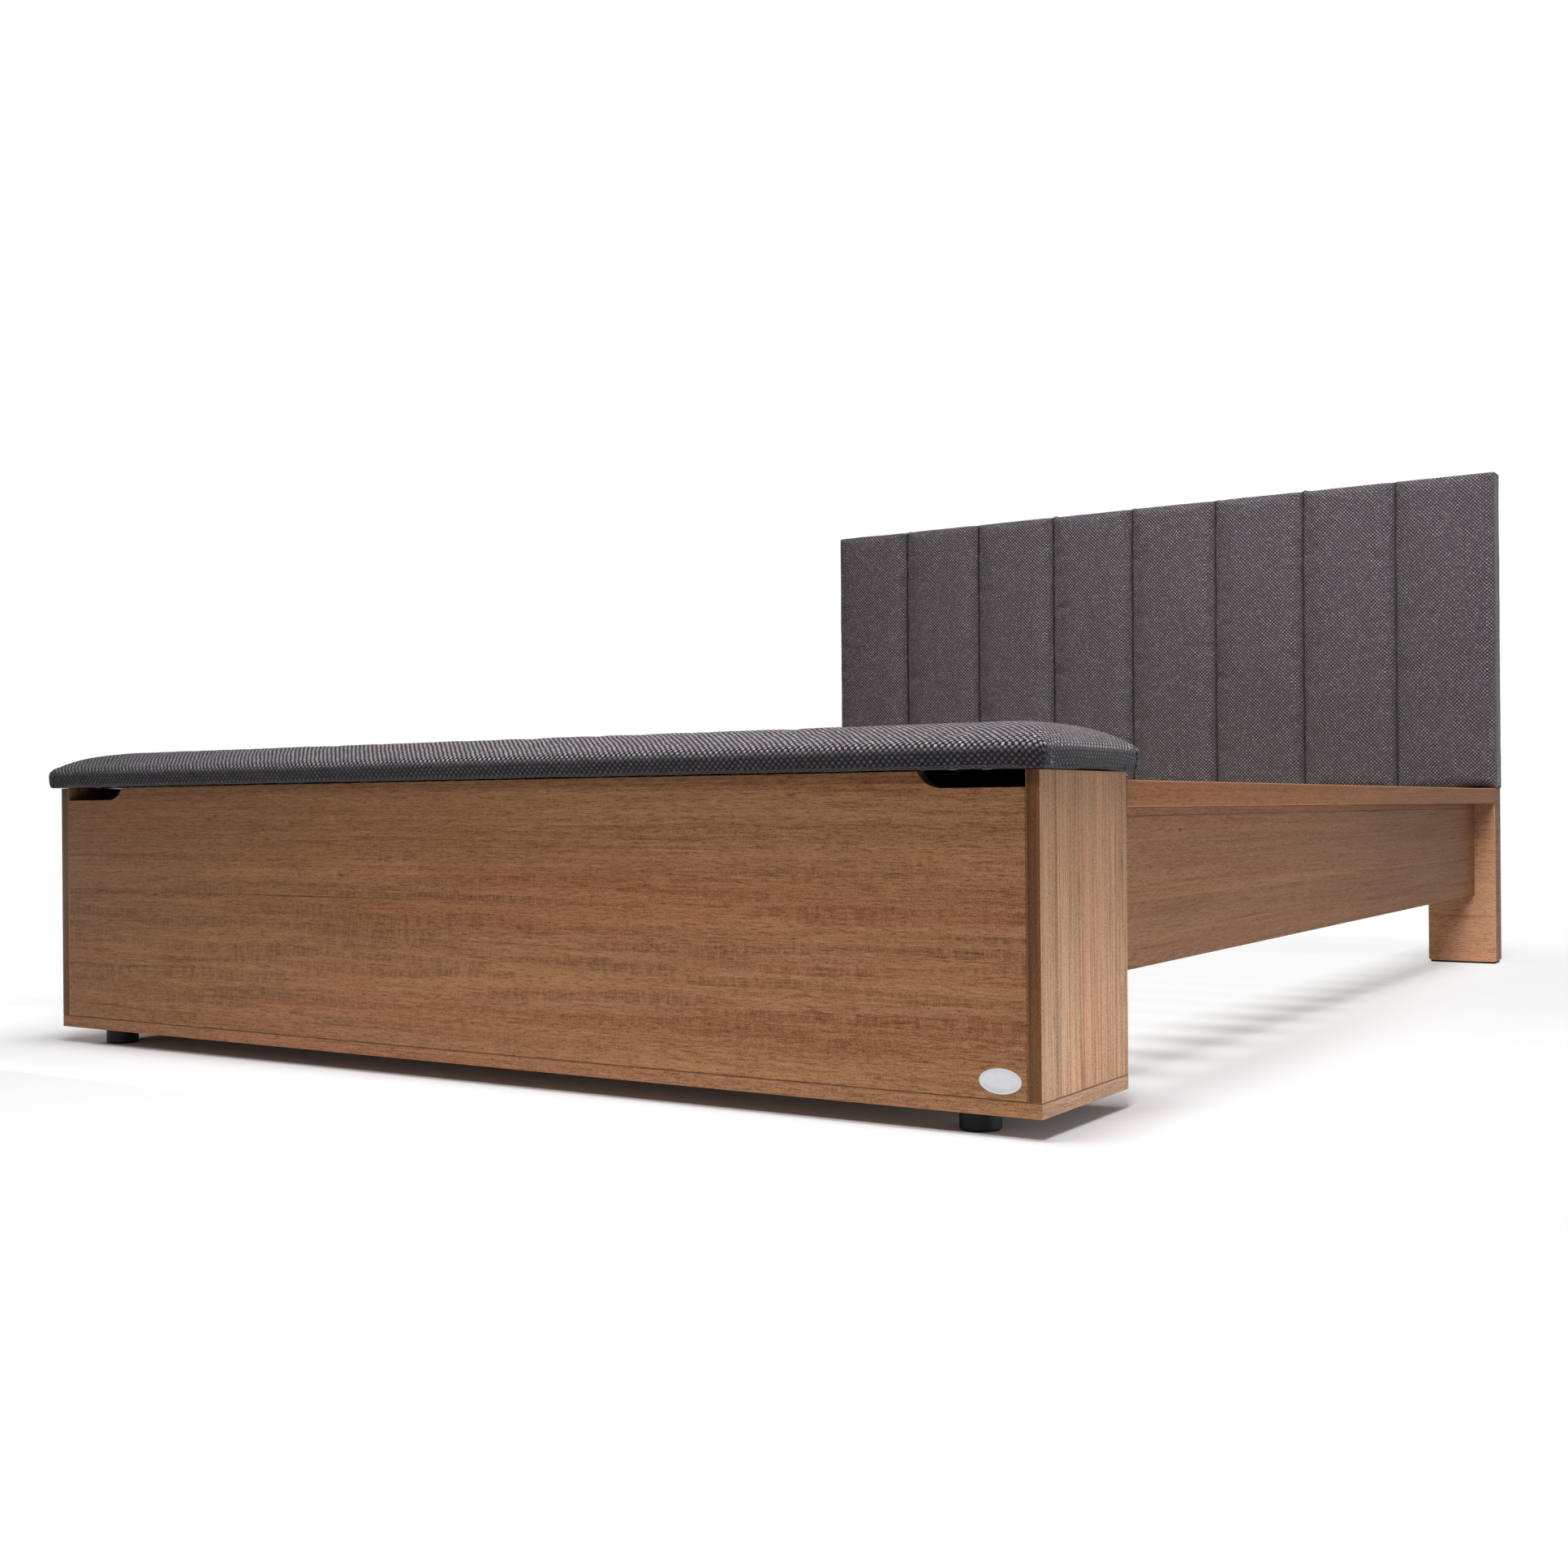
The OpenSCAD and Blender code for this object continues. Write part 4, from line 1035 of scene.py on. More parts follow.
def headboard_cover(sizes, material):
    """The headboard's cover: cloth and foam sewn into upright channels."""
    hx = PAD_HIGH.x
    hy = (PAD_HIGH.z - PAD_LOW.z) / 2
    thick = PAD_HIGH.y - PAD_LOW.y
    middle_z = (PAD_HIGH.z + PAD_LOW.z) / 2
    pitch = 2 * hx / CHANNELS
    seams = [k * pitch - hx + SEAM_SHIFT for k in range(1, CHANNELS)]
    bounds = [-hx, *seams, hx]
    dimple, lump = 1.2 * MM, 4.0 * MM
    # Size of each seam's lump as a share of the largest, from left to right
    lumps = [0.5, 0.35, 1.0, 0.7, 0.5, 1.0, 0.45]
    edge_radius = 9 * MM

    def seam_offset(x):
        return min(abs(x - s) for s in seams)

    def relief(x, y):
        e = min(hx - abs(x), hy - abs(y))
        number = max(k for k in range(CHANNELS) if x >= bounds[k])
        off_middle = 2 * (x - bounds[number]) / (bounds[number + 1] - bounds[number]) - 1
        near = seam_offset(x)
        slit = 5 * MM * bell(near, 1.7 * MM)
        return (thick - 2.5 * MM * off_middle ** 2 - 1.5 * MM * (y / hy) ** 2
                - (sizes.groove_depth - 3 * MM) * groove_pull(near, sizes.groove_shoulder) - slit
                - edge_fall(e, edge_radius))

    def top_lift(x):
        """Rise of the top edge: a slight dip at each seam, with a lump where the seam is folded."""
        lift = -dimple * groove_pull(seam_offset(x), 20 * MM)
        for size, seam in zip(lumps, seams):
            lift += size * lump * bell(x - seam - 4 * MM, 6 * MM)
        return lift

    def foot_lift(x):
        """Rise of the bottom edge, where the folded corner draws the cloth up."""
        return 4.5 * MM * step_down(abs(hx - 42 * MM - abs(x)), 14 * MM, 42 * MM)

    half_steps = [s * MM for s in (0, 0.8, 1.7, 2.8, 4.4, 7, 11, 17, 25)]
    xs = [-hx + s for s in EDGE_STEPS]
    for k in range(CHANNELS):
        left, right = bounds[k], bounds[k + 1]
        start = EDGE_STEPS[-1] if k == 0 else half_steps[-1]
        stop = EDGE_STEPS[-1] if k == CHANNELS - 1 else half_steps[-1]
        xs += [x for x in spread(left + start, right - stop, 12 * MM) if x > xs[-1] + 0.2 * MM]
        if k < CHANNELS - 1:
            xs += [right - s for s in half_steps[-2::-1]] + [right + s for s in half_steps[1:]]
    xs += [hx - s for s in EDGE_STEPS[-2::-1]]
    ys = edge_places(hy, EDGE_STEPS, 9 * MM)
    cover = Cover(hx, hy, 3 * MM, xs, ys, relief, 0.2 * MM)

    def dip(x, y, height):
        """Each seam pulls a dimple into the top edge, and the foot is drawn up at each end."""
        if y > hy - 1 * MM:
            return Vector((0, top_lift(x) * min(1.0, height / (30 * MM)), 0))
        if y < 1 * MM - hy:
            return Vector((0, foot_lift(x) * min(1.0, height / (30 * MM)), 0))
        return Vector()

    for (x, y), point in zip(cover.flat, cover.points):
        point.y += top_lift(x) * max(0.0, y / hy) ** 8
        point.y += foot_lift(x) * max(0.0, -y / hy) ** 16
    for height in (40, 34, 28, 21, 14, 8, 4):
        cover.add_ring(0.0, height * MM, dip)
    # Round the back edge, then under the black back cover
    for inset, height in ((0.6, 1.2), (2.0, 0.2), (5, -0.3), (8.5, -0.2), (9.8, 0.6), (10.6, 2.2),
                          (16, 2.6), (24, 2.6)):
        cover.add_ring(inset * MM, height * MM)
    made = cover.build(
        "headboard_cover",
        lambda p: Vector((p.x + COVER_SHIFT, PAD_HIGH.y - p.z, middle_z + p.y)), material, "bed")
    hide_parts("headboard_upholstery")
    face = cover.nx * cover.ny
    held = [k for k, p in enumerate(cover.points)
            if k >= face or min(hx - abs(p.x), hy - abs(p.y)) < 4 * MM
            or seam_offset(cover.flat[k][0]) < 2 * MM]
    swell(made, held, 1.0, 0.004, 3.5 * MM)
    refine(made)
    seams = [seam + COVER_SHIFT for seam in seams]
    pucker_seams(made, seams)
    uneven(made, 0.6 * MM, 70 * MM, 3)
    uneven(made, 0.3 * MM, 16 * MM, 4)
    return made, seams


def pucker_seams(piece, seams):
    """Small pulls beside each seam, a stitch or two long, where the thread bites, and painted shade
    in each seam's slit and over its left shoulder.
    """
    mesh = piece.data
    layer = mesh.attributes["cloth"].data
    for vertex, place in zip(mesh.vertices, layer):
        co = vertex.co
        near, seam = min((abs(co.x - s), s) for s in seams)
        if near > 30 * MM or co.y > PAD_LOW.y + 24 * MM:
            continue
        pull = noise.noise(Vector((co.z / (11 * MM), seam * 9, 0.5 if co.x > seam else 7.5)))
        left = near if co.x < seam else near * 2.5
        flat = place.vector
        # Painted shade: dark in the seam's slit, and a softer band over its left shoulder
        seam_shade = 0.9 * bell(near, 2.2 * MM) + 0.3 * bell(left, 13 * MM)
        place.vector = (flat.x, flat.y, min(1.0, seam_shade))
        co.y += 1.2 * MM * pull * bell(near, 6 * MM)
        co.x += 0.6 * MM * pull * bell(near - 2 * MM, 3 * MM)
        co.x += seam_wave(seam, co.z) * bell(near, 14 * MM)
    mesh.update()


def seam_stitches(piece, seams, sizes, material):
    """Stitches at the bottom of each sewn groove, and short thread ends at its foot."""
    graph = bpy.context.evaluated_depsgraph_get()
    surface = BVHTree.FromObject(piece, graph)
    draw = random.Random(8)
    stitches, ends = Shapes(), Shapes()
    bite = 1.4 * MM
    for seam in seams:
        places = spread(PAD_LOW.z + 12 * MM, PAD_HIGH.z - 8 * MM, sizes.stitch_pitch)
        for low, high in zip(places, places[1:]):
            path = []
            for share, sink in ((0.0, 0.5), (0.12, 0.0), (0.5, -0.25), (0.88, 0.0), (1.0, 0.5)):
                z = low + bite / 2 + (high - low - bite) * share
                x = seam + seam_wave(seam, z)
                hit, _, _, _ = surface.ray_cast(Vector((x, PAD_LOW.y - 0.05, z)),
                                                Vector((0, 1, 0)))
                if hit is None:
                    raise RuntimeError("a stitch found no cloth under it")
                path.append((x, hit.y + (sink - 0.35) * MM, z))
            stitches.take(*tube(path, 0.45 * MM, 6))
        for _ in range(3):
            start = (seam + draw.uniform(-1.5, 1.5) * MM, PAD_LOW.y + 7 * MM,
                     PAD_LOW.z + draw.uniform(1, 5) * MM)
            lean = (draw.uniform(-0.7, 0.7), -0.9, draw.uniform(-1.0, 0.3))
            ends.take(*loose_thread(draw, start, lean, draw.uniform(9, 16) * MM, 0.35 * MM))
    stitches.piece("seam_stitches", material, "charcoal_weave", "bed")
    ends.piece("seam_thread_ends", material, "charcoal_weave", "bed")


def back_staples(sizes, steel):
    """Staples that hold the headboard's back cover, close to its edge."""
    def driven_in(x, z, spin):
        """Matrix of a staple that is driven into the headboard's back."""
        return (Matrix.Translation((x, BACK_HIGH.y, z))
                @ Matrix.Rotation(-math.pi / 2, 4, "X") @ spin)

    staples("back_staples", 21, sizes, (BACK_LOW.x, BACK_LOW.z), (BACK_HIGH.x, BACK_HIGH.z),
            9 * MM, (20 * MM, 24 * MM), driven_in, steel, "bed")


# ---------------------------------------------------------------- screws and plate

def screws(name, sites, radius, height, material, body):
    """Cross-head screws as one piece. sites are (place, outward axis)."""
    shapes = Shapes()
    draw = random.Random(len(sites))
    for place, out in sites:
        turn = Vector(out).to_track_quat("Z", "Y").to_matrix().to_4x4()
        spin = Matrix.Rotation(draw.uniform(0, math.pi), 4, "Z")
        shapes.take(*cross_head(radius, height), Matrix.Translation(place) @ turn @ spin)
    return shapes.piece(name, material, "zinc_plated_steel", body)


def all_screws(steel):
    """Screws of the hinges, the slats and the beam's steel cups."""
    leaf_t = 1.5 * MM
    hinge_x = [place + step * 28 * MM for place in (-OUTER_HINGE, 0.0, OUTER_HINGE)
               for step in (-1, 0, 1)]
    screws("hinge_screws_lid",
           [((x, LID_LEAF_LOW.y + 5 * MM, LID_LOW.z - leaf_t), (0, 0, -1)) for x in hinge_x],
           3.2 * MM, 0.7 * MM, steel, "lid")
    screws("hinge_screws_chest",
           [((x, CHEST_BACK + leaf_t, CHEST_LEAF_LOW.z + 10 * MM), (0, 1, 0)) for x in hinge_x],
           3.2 * MM, 0.7 * MM, steel, "bed")
    slat_w, count = 70 * MM, 14
    first = SLATS_LOW.y + slat_w / 2
    pitch = (SLATS_HIGH.y - SLATS_LOW.y - slat_w) / (count - 1)
    screws("slat_screws",
           [((side * (SLATS_HIGH.x - 7 * MM), first + k * pitch + step * 20 * MM, SLATS_HIGH.z),
             (0, 0, 1)) for k in range(count) for side in (-1, 1) for step in (-1, 1)],
           3.4 * MM, 0.8 * MM, steel, "bed")
    screws("beam_cup_screws",
           [((side * CUPS_HIGH.x, y, (CUPS_LOW.z + CUPS_HIGH.z) / 2), (side, 0, 0))
            for side in (-1, 1) for y in (CUPS_LOW.y + 20 * MM, CUPS_HIGH.y - 20 * MM)],
           3.4 * MM, 1.2 * MM, steel, "bed")


def oval_plate(sizes, material):
    """A blank oval plate near the front panel's lower right corner: raised rim, one fine ring."""
    centre = Vector((729.4 * MM, FRONT_LOW.y, 57 * MM))
    profile = ((1.0, 0.0), (0.997, 0.35), (0.985, 0.6), (0.965, 0.7), (0.94, 0.68), (0.92, 0.5),
               (0.885, 0.46), (0.875, 0.36), (0.86, 0.36), (0.85, 0.46), (0.6, 0.56),
               (0.3, 0.62))
    segments = 96
    points, faces = [], []
    for share, height in profile:
        for s in range(segments):
            a = 2 * math.pi * s / segments
            points.append(centre + Vector((share * sizes.plate_width / 2 * math.cos(a),
                                           -height * MM,
                                           share * sizes.plate_height / 2 * math.sin(a))))
    for ring in range(len(profile) - 1):
        faces += bridge(numbers(ring, segments), numbers(ring + 1, segments), flip=True)
    last = (len(profile) - 1) * segments
    points.append(centre + Vector((0, -0.64 * MM, 0)))
    faces += [[last + s, last + (s + 1) % segments, len(points) - 1] for s in range(segments)]
    faces.append(list(range(segments))[::-1])
    return finished("oval_plate", points, faces, material, "bed")


# ---------------------------------------------------------------- operators

FINISH = {}


def settings():
    """The user's sizes and colours."""
    scene = bpy.context.scene
    return scene.bed_sizes, scene.bed_colours


class BED_OT_veneer(bpy.types.Operator):
    """Puts the walnut veneers on the chest, the rails, the caps and the headboard's legs"""
    bl_idname = "bed.veneer"
    bl_label = "Veneer the Boards"

    def execute(self, context):
        _, colours = settings()
        mid, upright = tuple(colours.walnut), tuple(colours.walnut_upright)
        front, floor_z, inner = FRONT_LOW.y, FRONT_LOW.z, FRONT_HIGH.x
        smoky, ruddy, amber = (0.45, 0.4, 0.38), (0.9, 0.62, 0.5), (1.15, 0.85, 0.6)
        knots = [((-0.199, front, 0.250), 9 * MM, 3 * MM, smoky),
                 ((-0.565, front, 0.218), 7 * MM, 2.5 * MM, smoky),
                 ((0.199, front, 0.243), 14 * MM, 4 * MM, ruddy),
                 ((0.370, front, 0.206), 16 * MM, 3 * MM, amber),
                 ((-0.244, front, 0.2215), 335 * MM, 0.9 * MM, smoky)]
        seam = 0.9 * MM
        finish_nodes(veneer("walnut veneer, long panel", 0, mid, 1.0, (1.0, 0.165, 0.12), 0.0,
                            [(2, floor_z, seam, 0.7), (0, inner, seam, 0.5),
                             (0, -inner, seam, 0.5)], knots=knots),
                     "chest_front_panel", "chest_back_panel")
        # The end faces of the chest floor and the cross rail get a pale, cool tint: a painted sheen
        finish_nodes(veneer("walnut edging, chest floor, sheen painted on ends", 0, times(mid, 1.02, 0.98, 0.95), 2.0,
                            arris=0.15, joints=[(2, floor_z, seam, 0.8)],
                            edging=(0, (1.12, 1.32, 1.75)), shine=0.2),
                     "chest_bottom_panel", "headboard_cross_rail")
        finish_nodes(veneer("walnut veneer, upright", 2, upright, 3.0, arris=0.2,
                            joints=[(2, floor_z, seam, 0.85)],
                            edging=(1, (0.34, 0.26, 0.17)), figure=1.2, shine=0.15, matt=0.5,
                            cut=QUARTER_CUT),
                     "chest_side_left", "chest_side_right")
        # The rail has a dark line along it, 10 mm under its cap
        finish_nodes(veneer("walnut veneer, rail", 1, times(mid, 0.95, 0.97, 1.06), 4.0,
                            joints=[(2, 0.3186, 0.8 * MM, 0.6)],
                            leaf=(0.218, (0.86, 0.84, 0.82)),
                            knots=[((RAIL_HIGH.x, -0.632, 0.300), 8 * MM, 3 * MM, smoky)],
                            figure=0.85),
                     "rail_board_left", "rail_board_right")
        finish_nodes(veneer("walnut veneer, cap", 1, tuple(colours.cap_tone), 5.0, arris=0.5,
                            figure=0.7),
                     "rail_cap_left", "rail_cap_right")
        head = LEG_LOW.y
        specks = [((0.738, head, z), 3 * MM, 2 * MM, smoky) for z in (0.289, 0.271, 0.243, 0.224)]
        # The legs get a paler, cooler copy of the walnut as painted light, and their sides a darker
        # tint as painted shade
        finish_nodes(veneer("walnut veneer, leg, light and shade painted", 0, times(mid, 1.45, 1.58, 1.9), 6.0, arris=0.2,
                            edging=(0, (0.58, 0.58, 0.6)), knots=specks, figure=0.7),
                     "headboard_leg_left", "headboard_leg_right")
        return {"FINISHED"}


class BED_OT_plain_finishes(bpy.types.Operator):
    """Finishes the pine, board, steel, plastic and rubber parts and the headboard's back"""
    bl_idname = "bed.plain_finishes"
    bl_label = "Finish the Other Parts"

    def execute(self, context):
        _, colours = settings()
        FINISH["steel"] = zinc_steel("zinc-plated steel, pressed")
        FINISH["lining"] = spunbond("spunbond lining, black")
        FINISH["thread"] = yarn_fluff("sewing thread, spun dark grey", "#4a464a")
        FINISH["fluff"] = yarn_fluff("frayed yarn ends, pale grey", "#a8a2a4")
        finish_nodes(pine("pine, planed", tuple(colours.pine_tone)), "slats", "slat_ledge_left",
                     "slat_ledge_right", "centre_beam", "centre_legs", "headboard_frame")
        finish_nodes(particle_board("particle board, raw"), "lid_board", "headboard_board")
        finish_nodes(FINISH["steel"], "hinge_fixed_leaves", "hinge_pins", "hinge_lid_leaves",
                     "rail_brackets", "bracket_bolts", "beam_brackets", "joining_plates",
                     "plate_screws")
        finish_nodes(moulded("polypropylene, moulded black", "#0d0d0e", 900.0, 0.4, shine=0.15),
                     "chest_feet", "centre_leg_glides", "headboard_glides")
        finish_nodes(moulded("polyurethane pad, cast clear", "#c9cdc8", 500.0, 0.3, 0.4),
                     "lid_bumpers")
        finish_nodes(FINISH["lining"], "headboard_back_cover")
        return {"FINISHED"}


class BED_OT_lid_cover(bpy.types.Operator):
    """Upholsters the chest's lid and frays the yarn at its folded corners"""
    bl_idname = "bed.lid_cover"
    bl_label = "Upholster the Lid"

    def execute(self, context):
        sizes, colours = settings()
        FINISH["cloth"] = basket_weave("basket weave, charcoal melange", tuple(colours.yarn_dark),
                                       tuple(colours.yarn_pale), sizes.weave_cell)
        lid_cover(sizes, FINISH["cloth"])
        corner_threads(FINISH["fluff"])
        return {"FINISHED"}


class BED_OT_lid_lining(bpy.types.Operator):
    """Lines the lid's underside with black cloth and staples it"""
    bl_idname = "bed.lid_lining"
    bl_label = "Line the Lid"

    def execute(self, context):
        sizes, _ = settings()
        lid_lining(sizes, FINISH["lining"], FINISH["steel"])
        return {"FINISHED"}


class BED_OT_headboard_cover(bpy.types.Operator):
    """Upholsters the headboard in sewn channels, with stitches, thread ends and back staples"""
    bl_idname = "bed.headboard_cover"
    bl_label = "Upholster the Headboard"

    def execute(self, context):
        sizes, colours = settings()
        # The same cloth, pulled flat over a large face, so its chequer is calmer; its yarns are
        # darkened by about a sixth as painted shade
        cloth = basket_weave("basket weave, charcoal melange, pulled flat, shade painted",
                             times(colours.yarn_dark, 0.85, 0.85, 0.85),
                             times(colours.yarn_pale, 0.82, 0.82, 0.84), sizes.weave_cell, 0.45)
        cover, seams = headboard_cover(sizes, cloth)
        seam_stitches(cover, seams, sizes, FINISH["thread"])
        back_staples(sizes, FINISH["steel"])
        return {"FINISHED"}


class BED_OT_screws(bpy.types.Operator):
    """Drives the cross-head screws of the hinges, the slats and the beam's steel cups"""
    bl_idname = "bed.screws"
    bl_label = "Drive the Screws"

    def execute(self, context):
        all_screws(FINISH["steel"])
        return {"FINISHED"}


class BED_OT_oval_plate(bpy.types.Operator):
    """Fixes the blank oval plate to the chest's front"""
    bl_idname = "bed.oval_plate"
    bl_label = "Fix the Blank Plate"

    def execute(self, context):
        sizes, colours = settings()
        oval_plate(sizes, enamelled_plate("enamel, stoved white", tuple(colours.plate_white)))
        return {"FINISHED"}


# Place and look of the photograph's camera
CAMERA_PLACE = (1.49925, -2.72909, 0.33142)
CAMERA_TURN = math.radians(32.694)
CAMERA_ROLL = math.radians(-0.468)
CAMERA_LENS = 40.50
CAMERA_SHIFT_Y = 0.01515


def photo_camera():
    """The camera, level and turned as in the photograph, looking past the chest's right end."""
    data = bpy.data.cameras.new("camera")
    data.lens, data.sensor_width, data.shift_y = CAMERA_LENS, 36.0, CAMERA_SHIFT_Y
    data.clip_end = 200.0
    made = bpy.data.objects.new("camera", data)
    made.matrix_world = (Matrix.Translation(CAMERA_PLACE) @ Matrix.Rotation(CAMERA_TURN, 4, "Z")
                         @ Matrix.Rotation(math.pi / 2, 4, "X")
                         @ Matrix.Rotation(CAMERA_ROLL, 4, "Z"))
    bpy.context.scene.collection.objects.link(made)
    bpy.context.scene.camera = made


# Soft lamps high up: name, place, target, watts, softness in metres, cone in degrees
SPOTS = (
    ("foot lamp", (1.57, -3.27, 3.75), (1.1, -1.4, 0.1), 400.0, 0.45, 56),
    ("lid lamp", (0.2, -1.25, 3.3), (0.25, -1.2, 0.4), 360.0, 0.6, 60),
    ("head lamp", (1.5, -0.9, 3.45), (0.2, 1.0, 0.8), 330.0, 0.9, 84),
    ("headboard lamp", (1.2, -0.3, 3.6), (0.3, 1.15, 1.6), 505.0, 0.9, 64),
    ("leg lamp", (1.25, -1.9, 0.9), (0.8, 1.09, 0.0), 190.0, 0.3, 14),
)

# Strips just above the floor, for the light that a white floor throws back: name, place,
# target, watts, length in metres, colour
WHITE, COOL_WHITE = (1.0, 1.0, 1.0), (0.8, 0.92, 1.0)
STRIPS = (
    ("low lamp, rail", (1.3, -0.5, 0.05), (0.7, -0.5, 0.05), 1.8, 1.3, WHITE),
    ("low lamp, chest end", (0.99, -1.02, 0.03), (0.775, -1.02, 0.07), 0.36, 0.3, COOL_WHITE),
    ("low lamp, chest front", (0.0, -1.36, 0.03), (0.0, -1.13, 0.08), 0.45, 1.7, WHITE),
    ("low lamp, left", (-1.35, -1.13, 0.22), (-0.9, -1.2, 0.0), 2.2, 0.4, WHITE),
)


def studio_lamp(name, kind, place, target, watts, **options):
    """A studio lamp of that kind at place, aimed at target."""
    data = bpy.data.lights.new(name, kind)
    data.energy = watts
    for option, value in options.items():
        setattr(data, option, value)
    made = bpy.data.objects.new(name, data)
    aim = Vector(target) - Vector(place)
    made.matrix_world = Matrix.Translation(place) @ aim.to_track_quat("-Z", "Y").to_matrix().to_4x4()
    made.visible_camera = False
    bpy.context.scene.collection.objects.link(made)


def seen_plainly(tree):
    """1 for the rays that reach the camera straight, off a gloss or through a clear part."""
    path = add(tree, "LightPath").outputs
    bounced = add(tree, "Math", [path["Is Glossy Ray"], path["Is Transmission Ray"]],
                  operation="MAXIMUM").outputs[0]
    return add(tree, "Math", [path["Is Camera Ray"], bounced], operation="MAXIMUM").outputs[0]


def pale_floor():
    """A painted floor that runs out into the white background a little way past the bed."""
    made, tree, _ = new_finish("studio floor, matt white paint")
    tree.nodes.clear()
    coord = add(tree, "TexCoord").outputs["Object"]
    place = add(tree, "SeparateXYZ", {0: coord}).outputs
    across = add(tree, "Math", [place[0]], operation="ABSOLUTE").outputs[0]
    along = add(tree, "Math", [place[1]], operation="ABSOLUTE").outputs[0]
    # Distance outside the bed's own outline, from which the floor fades into the background
    past_x = add(tree, "Math", [across, cad_high.x], operation="SUBTRACT").outputs[0]
    past_y = add(tree, "Math", [along, cad_high.y - 0.014], operation="SUBTRACT").outputs[0]
    beyond_x = add(tree, "Math", [past_x, 0.0], operation="MAXIMUM").outputs[0]
    beyond_y = add(tree, "Math", [past_y, 0.0], operation="MAXIMUM").outputs[0]
    square_x = add(tree, "Math", [beyond_x, beyond_x], operation="MULTIPLY").outputs[0]
    square_y = add(tree, "Math", [beyond_y, beyond_y], operation="MULTIPLY").outputs[0]
    square = add(tree, "Math", [square_x, square_y], operation="ADD").outputs[0]
    reach = add(tree, "Math", [square], operation="SQRT").outputs[0]
    near = add(tree, "MapRange", [reach, 0.0, 0.1, 0.0, 0.5]).outputs[0]
    far = add(tree, "MapRange", [reach, 0.1, 0.6, 0.0, 0.5]).outputs[0]
    outside = add(tree, "Math", [near, far], operation="ADD").outputs[0]
    # The open middle under the slats is washed out too, well inside the rails' own shadow
    middle = add(tree, "MapRange", [across, 0.52, 0.66, 0.93, 0.45]).outputs[0]
    behind = add(tree, "MapRange", [place[1], CHEST_BACK, CHEST_BACK + 0.12]).outputs[0]
    inside = add(tree, "Math", [middle, behind], operation="MULTIPLY").outputs[0]
    faded = add(tree, "Math", [outside, inside], operation="MAXIMUM").outputs[0]
    fade = add(tree, "Math", [faded, seen_plainly(tree)], operation="MULTIPLY").outputs[0]
    grain = grains(tree, coord, (9.0, 9.0, 9.0), 2.0)
    tone = add(tree, "Mix", {0: grain, 6: rgba(linear("#e9e9ea")), 7: rgba(linear("#efeff0"))},
               data_type="RGBA").outputs[2]
    paint = add(tree, "BsdfDiffuse", {"Color": tone})
    white = add(tree, "Emission", {"Color": (1, 1, 1, 1), "Strength": 1.0})
    mixed = add(tree, "MixShader", {0: fade, 1: paint.outputs[0], 2: white.outputs[0]})
    add(tree, "OutputMaterial", {"Surface": mixed.outputs[0]})
    return made


def white_world():
    """Even light from all round, with a white background where the camera sees past the floor."""
    world = bpy.data.worlds.new("studio")
    bpy.context.scene.world = world
    world.use_nodes = True
    tree = world.node_tree
    tree.nodes.clear()
    glow = add(tree, "Background", {"Color": (0.96, 0.98, 1.0, 1.0), "Strength": 0.07})
    white = add(tree, "Background", {"Color": (1, 1, 1, 1), "Strength": 1.0})
    mixed = add(tree, "MixShader",
                {0: seen_plainly(tree), 1: glow.outputs[0], 2: white.outputs[0]})
    add(tree, "OutputWorld", {"Surface": mixed.outputs[0]})


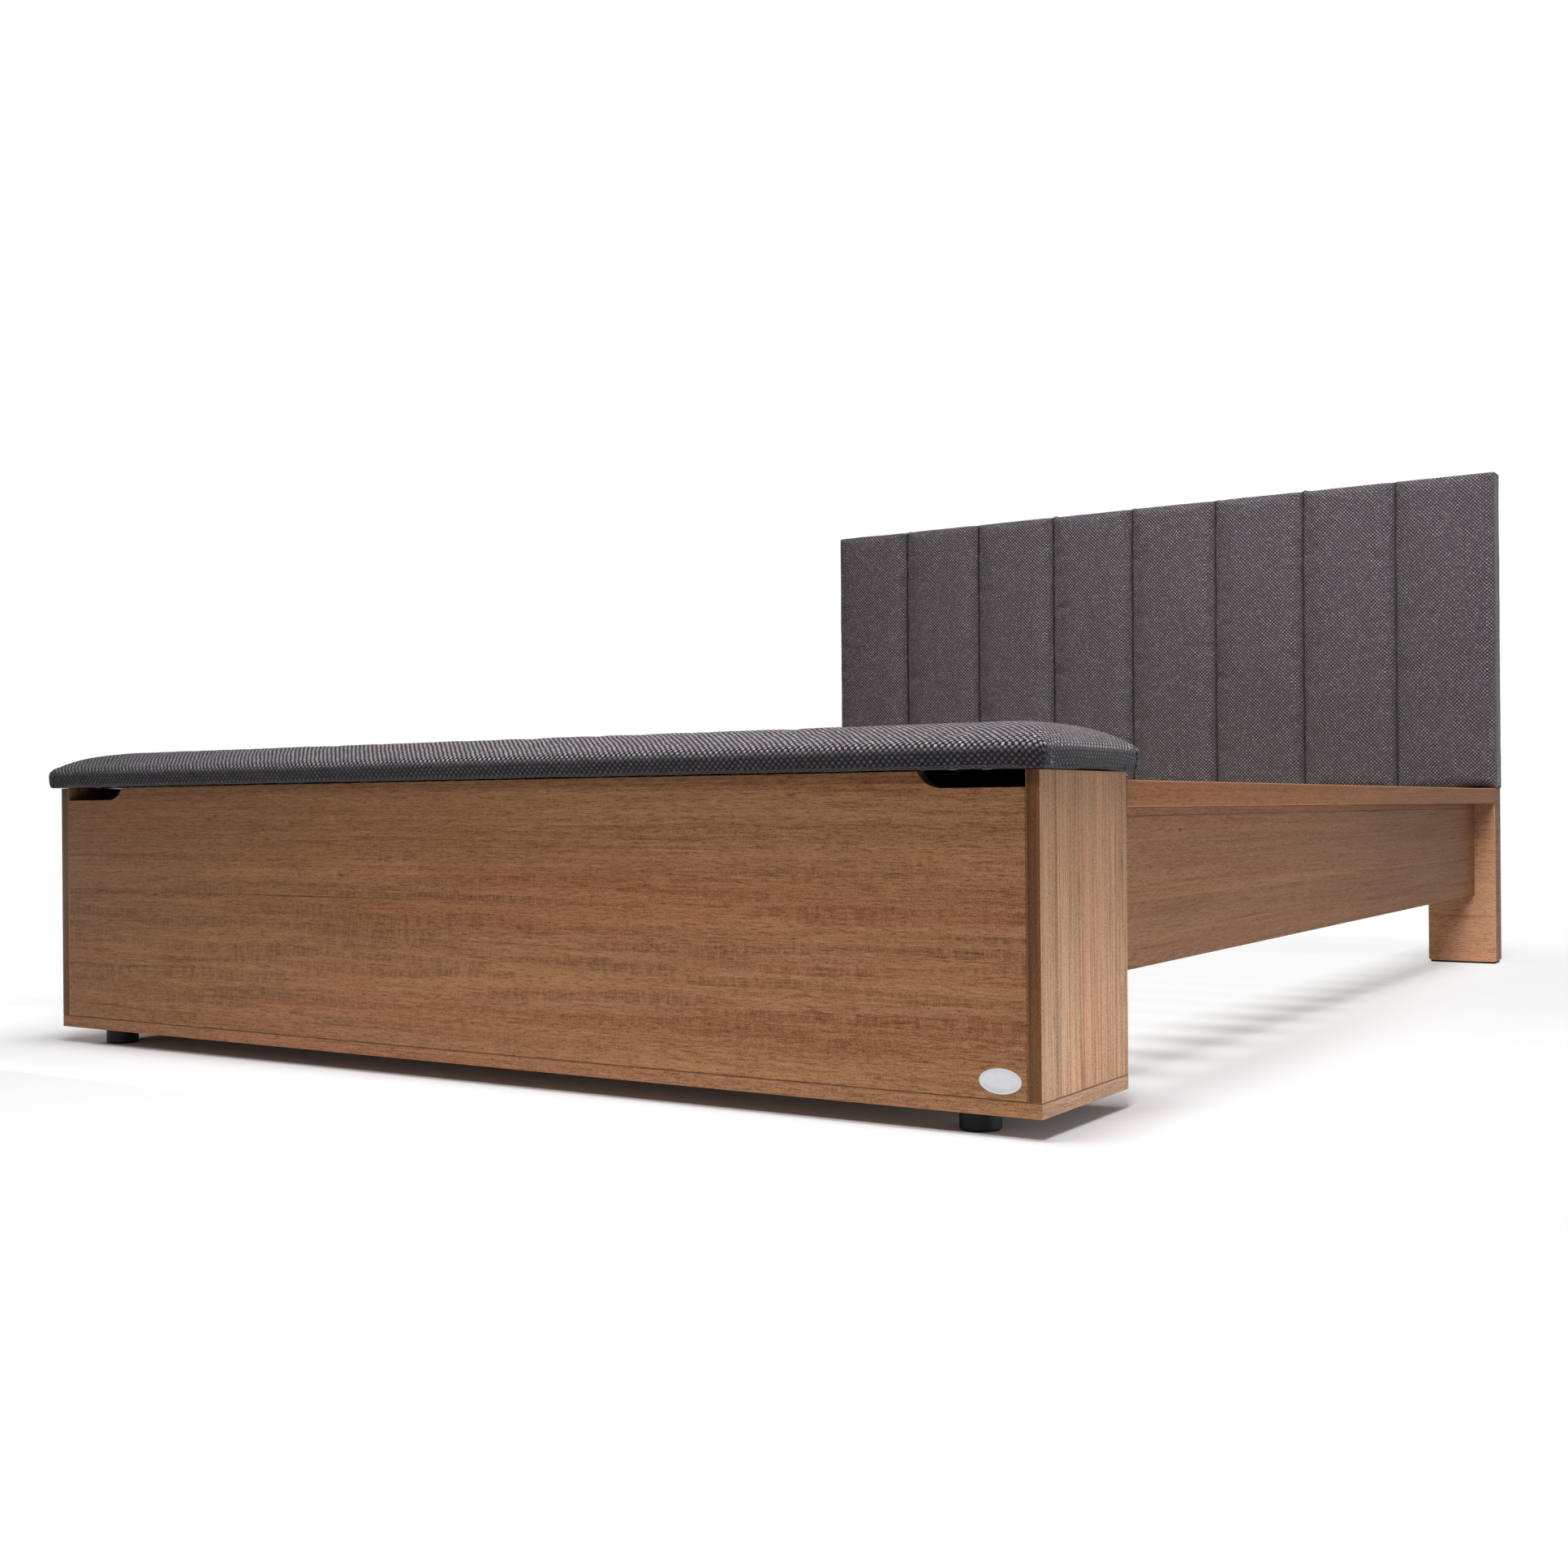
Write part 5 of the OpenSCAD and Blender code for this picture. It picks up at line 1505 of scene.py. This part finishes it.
class BED_OT_stage(bpy.types.Operator):
    """Sets up the camera, the soft lamps and the pale floor"""
    bl_idname = "bed.stage"
    bl_label = "Set up the Studio"

    def execute(self, context):
        photo_camera()
        for name, place, target, watts, softness, cone in SPOTS:
            studio_lamp(name, "SPOT", place, target, watts, shadow_soft_size=softness,
                        spot_size=math.radians(cone), spot_blend=1.0)
        for name, place, target, watts, reach, tint in STRIPS:
            studio_lamp(name, "AREA", place, target, watts, shape="RECTANGLE", size=reach,
                        size_y=0.05, color=tint)
        white_world()
        steps = [-30.0, -4.0, -2.0, 0.0, 2.0, 4.0, 30.0]
        points = [(x, y, 0.0) for x in steps for y in steps]
        mesh = bpy.data.meshes.new("floor")
        mesh.from_pydata(points, [], grid_faces(len(steps), len(steps)))
        mesh.materials.append(pale_floor())
        floor = bpy.data.objects.new("floor", mesh)
        context.scene.collection.objects.link(floor)
        return {"FINISHED"}


OPERATORS = (BED_OT_stage, BED_OT_veneer, BED_OT_plain_finishes, BED_OT_lid_cover,
             BED_OT_lid_lining, BED_OT_headboard_cover, BED_OT_screws, BED_OT_oval_plate)


class BED_PT_sidebar(bpy.types.Panel):
    """Steps and settings of the bed"""
    bl_label = "Blanket Chest Bed"
    bl_idname = "BED_PT_sidebar"
    bl_space_type = "VIEW_3D"
    bl_region_type = "UI"
    bl_category = "Bed"

    def draw(self, context):
        column = self.layout.column()
        for step in OPERATORS:
            column.operator(step.bl_idname)
        for group in (context.scene.bed_sizes, context.scene.bed_colours):
            box = self.layout.box()
            for name in group.bl_rna.properties.keys():
                if name not in ("rna_type", "name"):
                    box.prop(group, name)


CLASSES = (BedSizes, BedColours, *OPERATORS, BED_PT_sidebar)


def register():
    """Registers the add-on's classes and its settings."""
    for kind in CLASSES:
        bpy.utils.register_class(kind)
    bpy.types.Scene.bed_sizes = bpy.props.PointerProperty(type=BedSizes)
    bpy.types.Scene.bed_colours = bpy.props.PointerProperty(type=BedColours)


def unregister():
    """Takes the classes and settings away again."""
    del bpy.types.Scene.bed_colours
    del bpy.types.Scene.bed_sizes
    for kind in reversed(CLASSES):
        bpy.utils.unregister_class(kind)


def main():
    register()
    bpy.context.scene.view_settings.view_transform = "Standard"
    for step in OPERATORS:
        group, name = step.bl_idname.split(".")
        getattr(getattr(bpy.ops, group), name)()


if __name__ == "__main__":
    main()
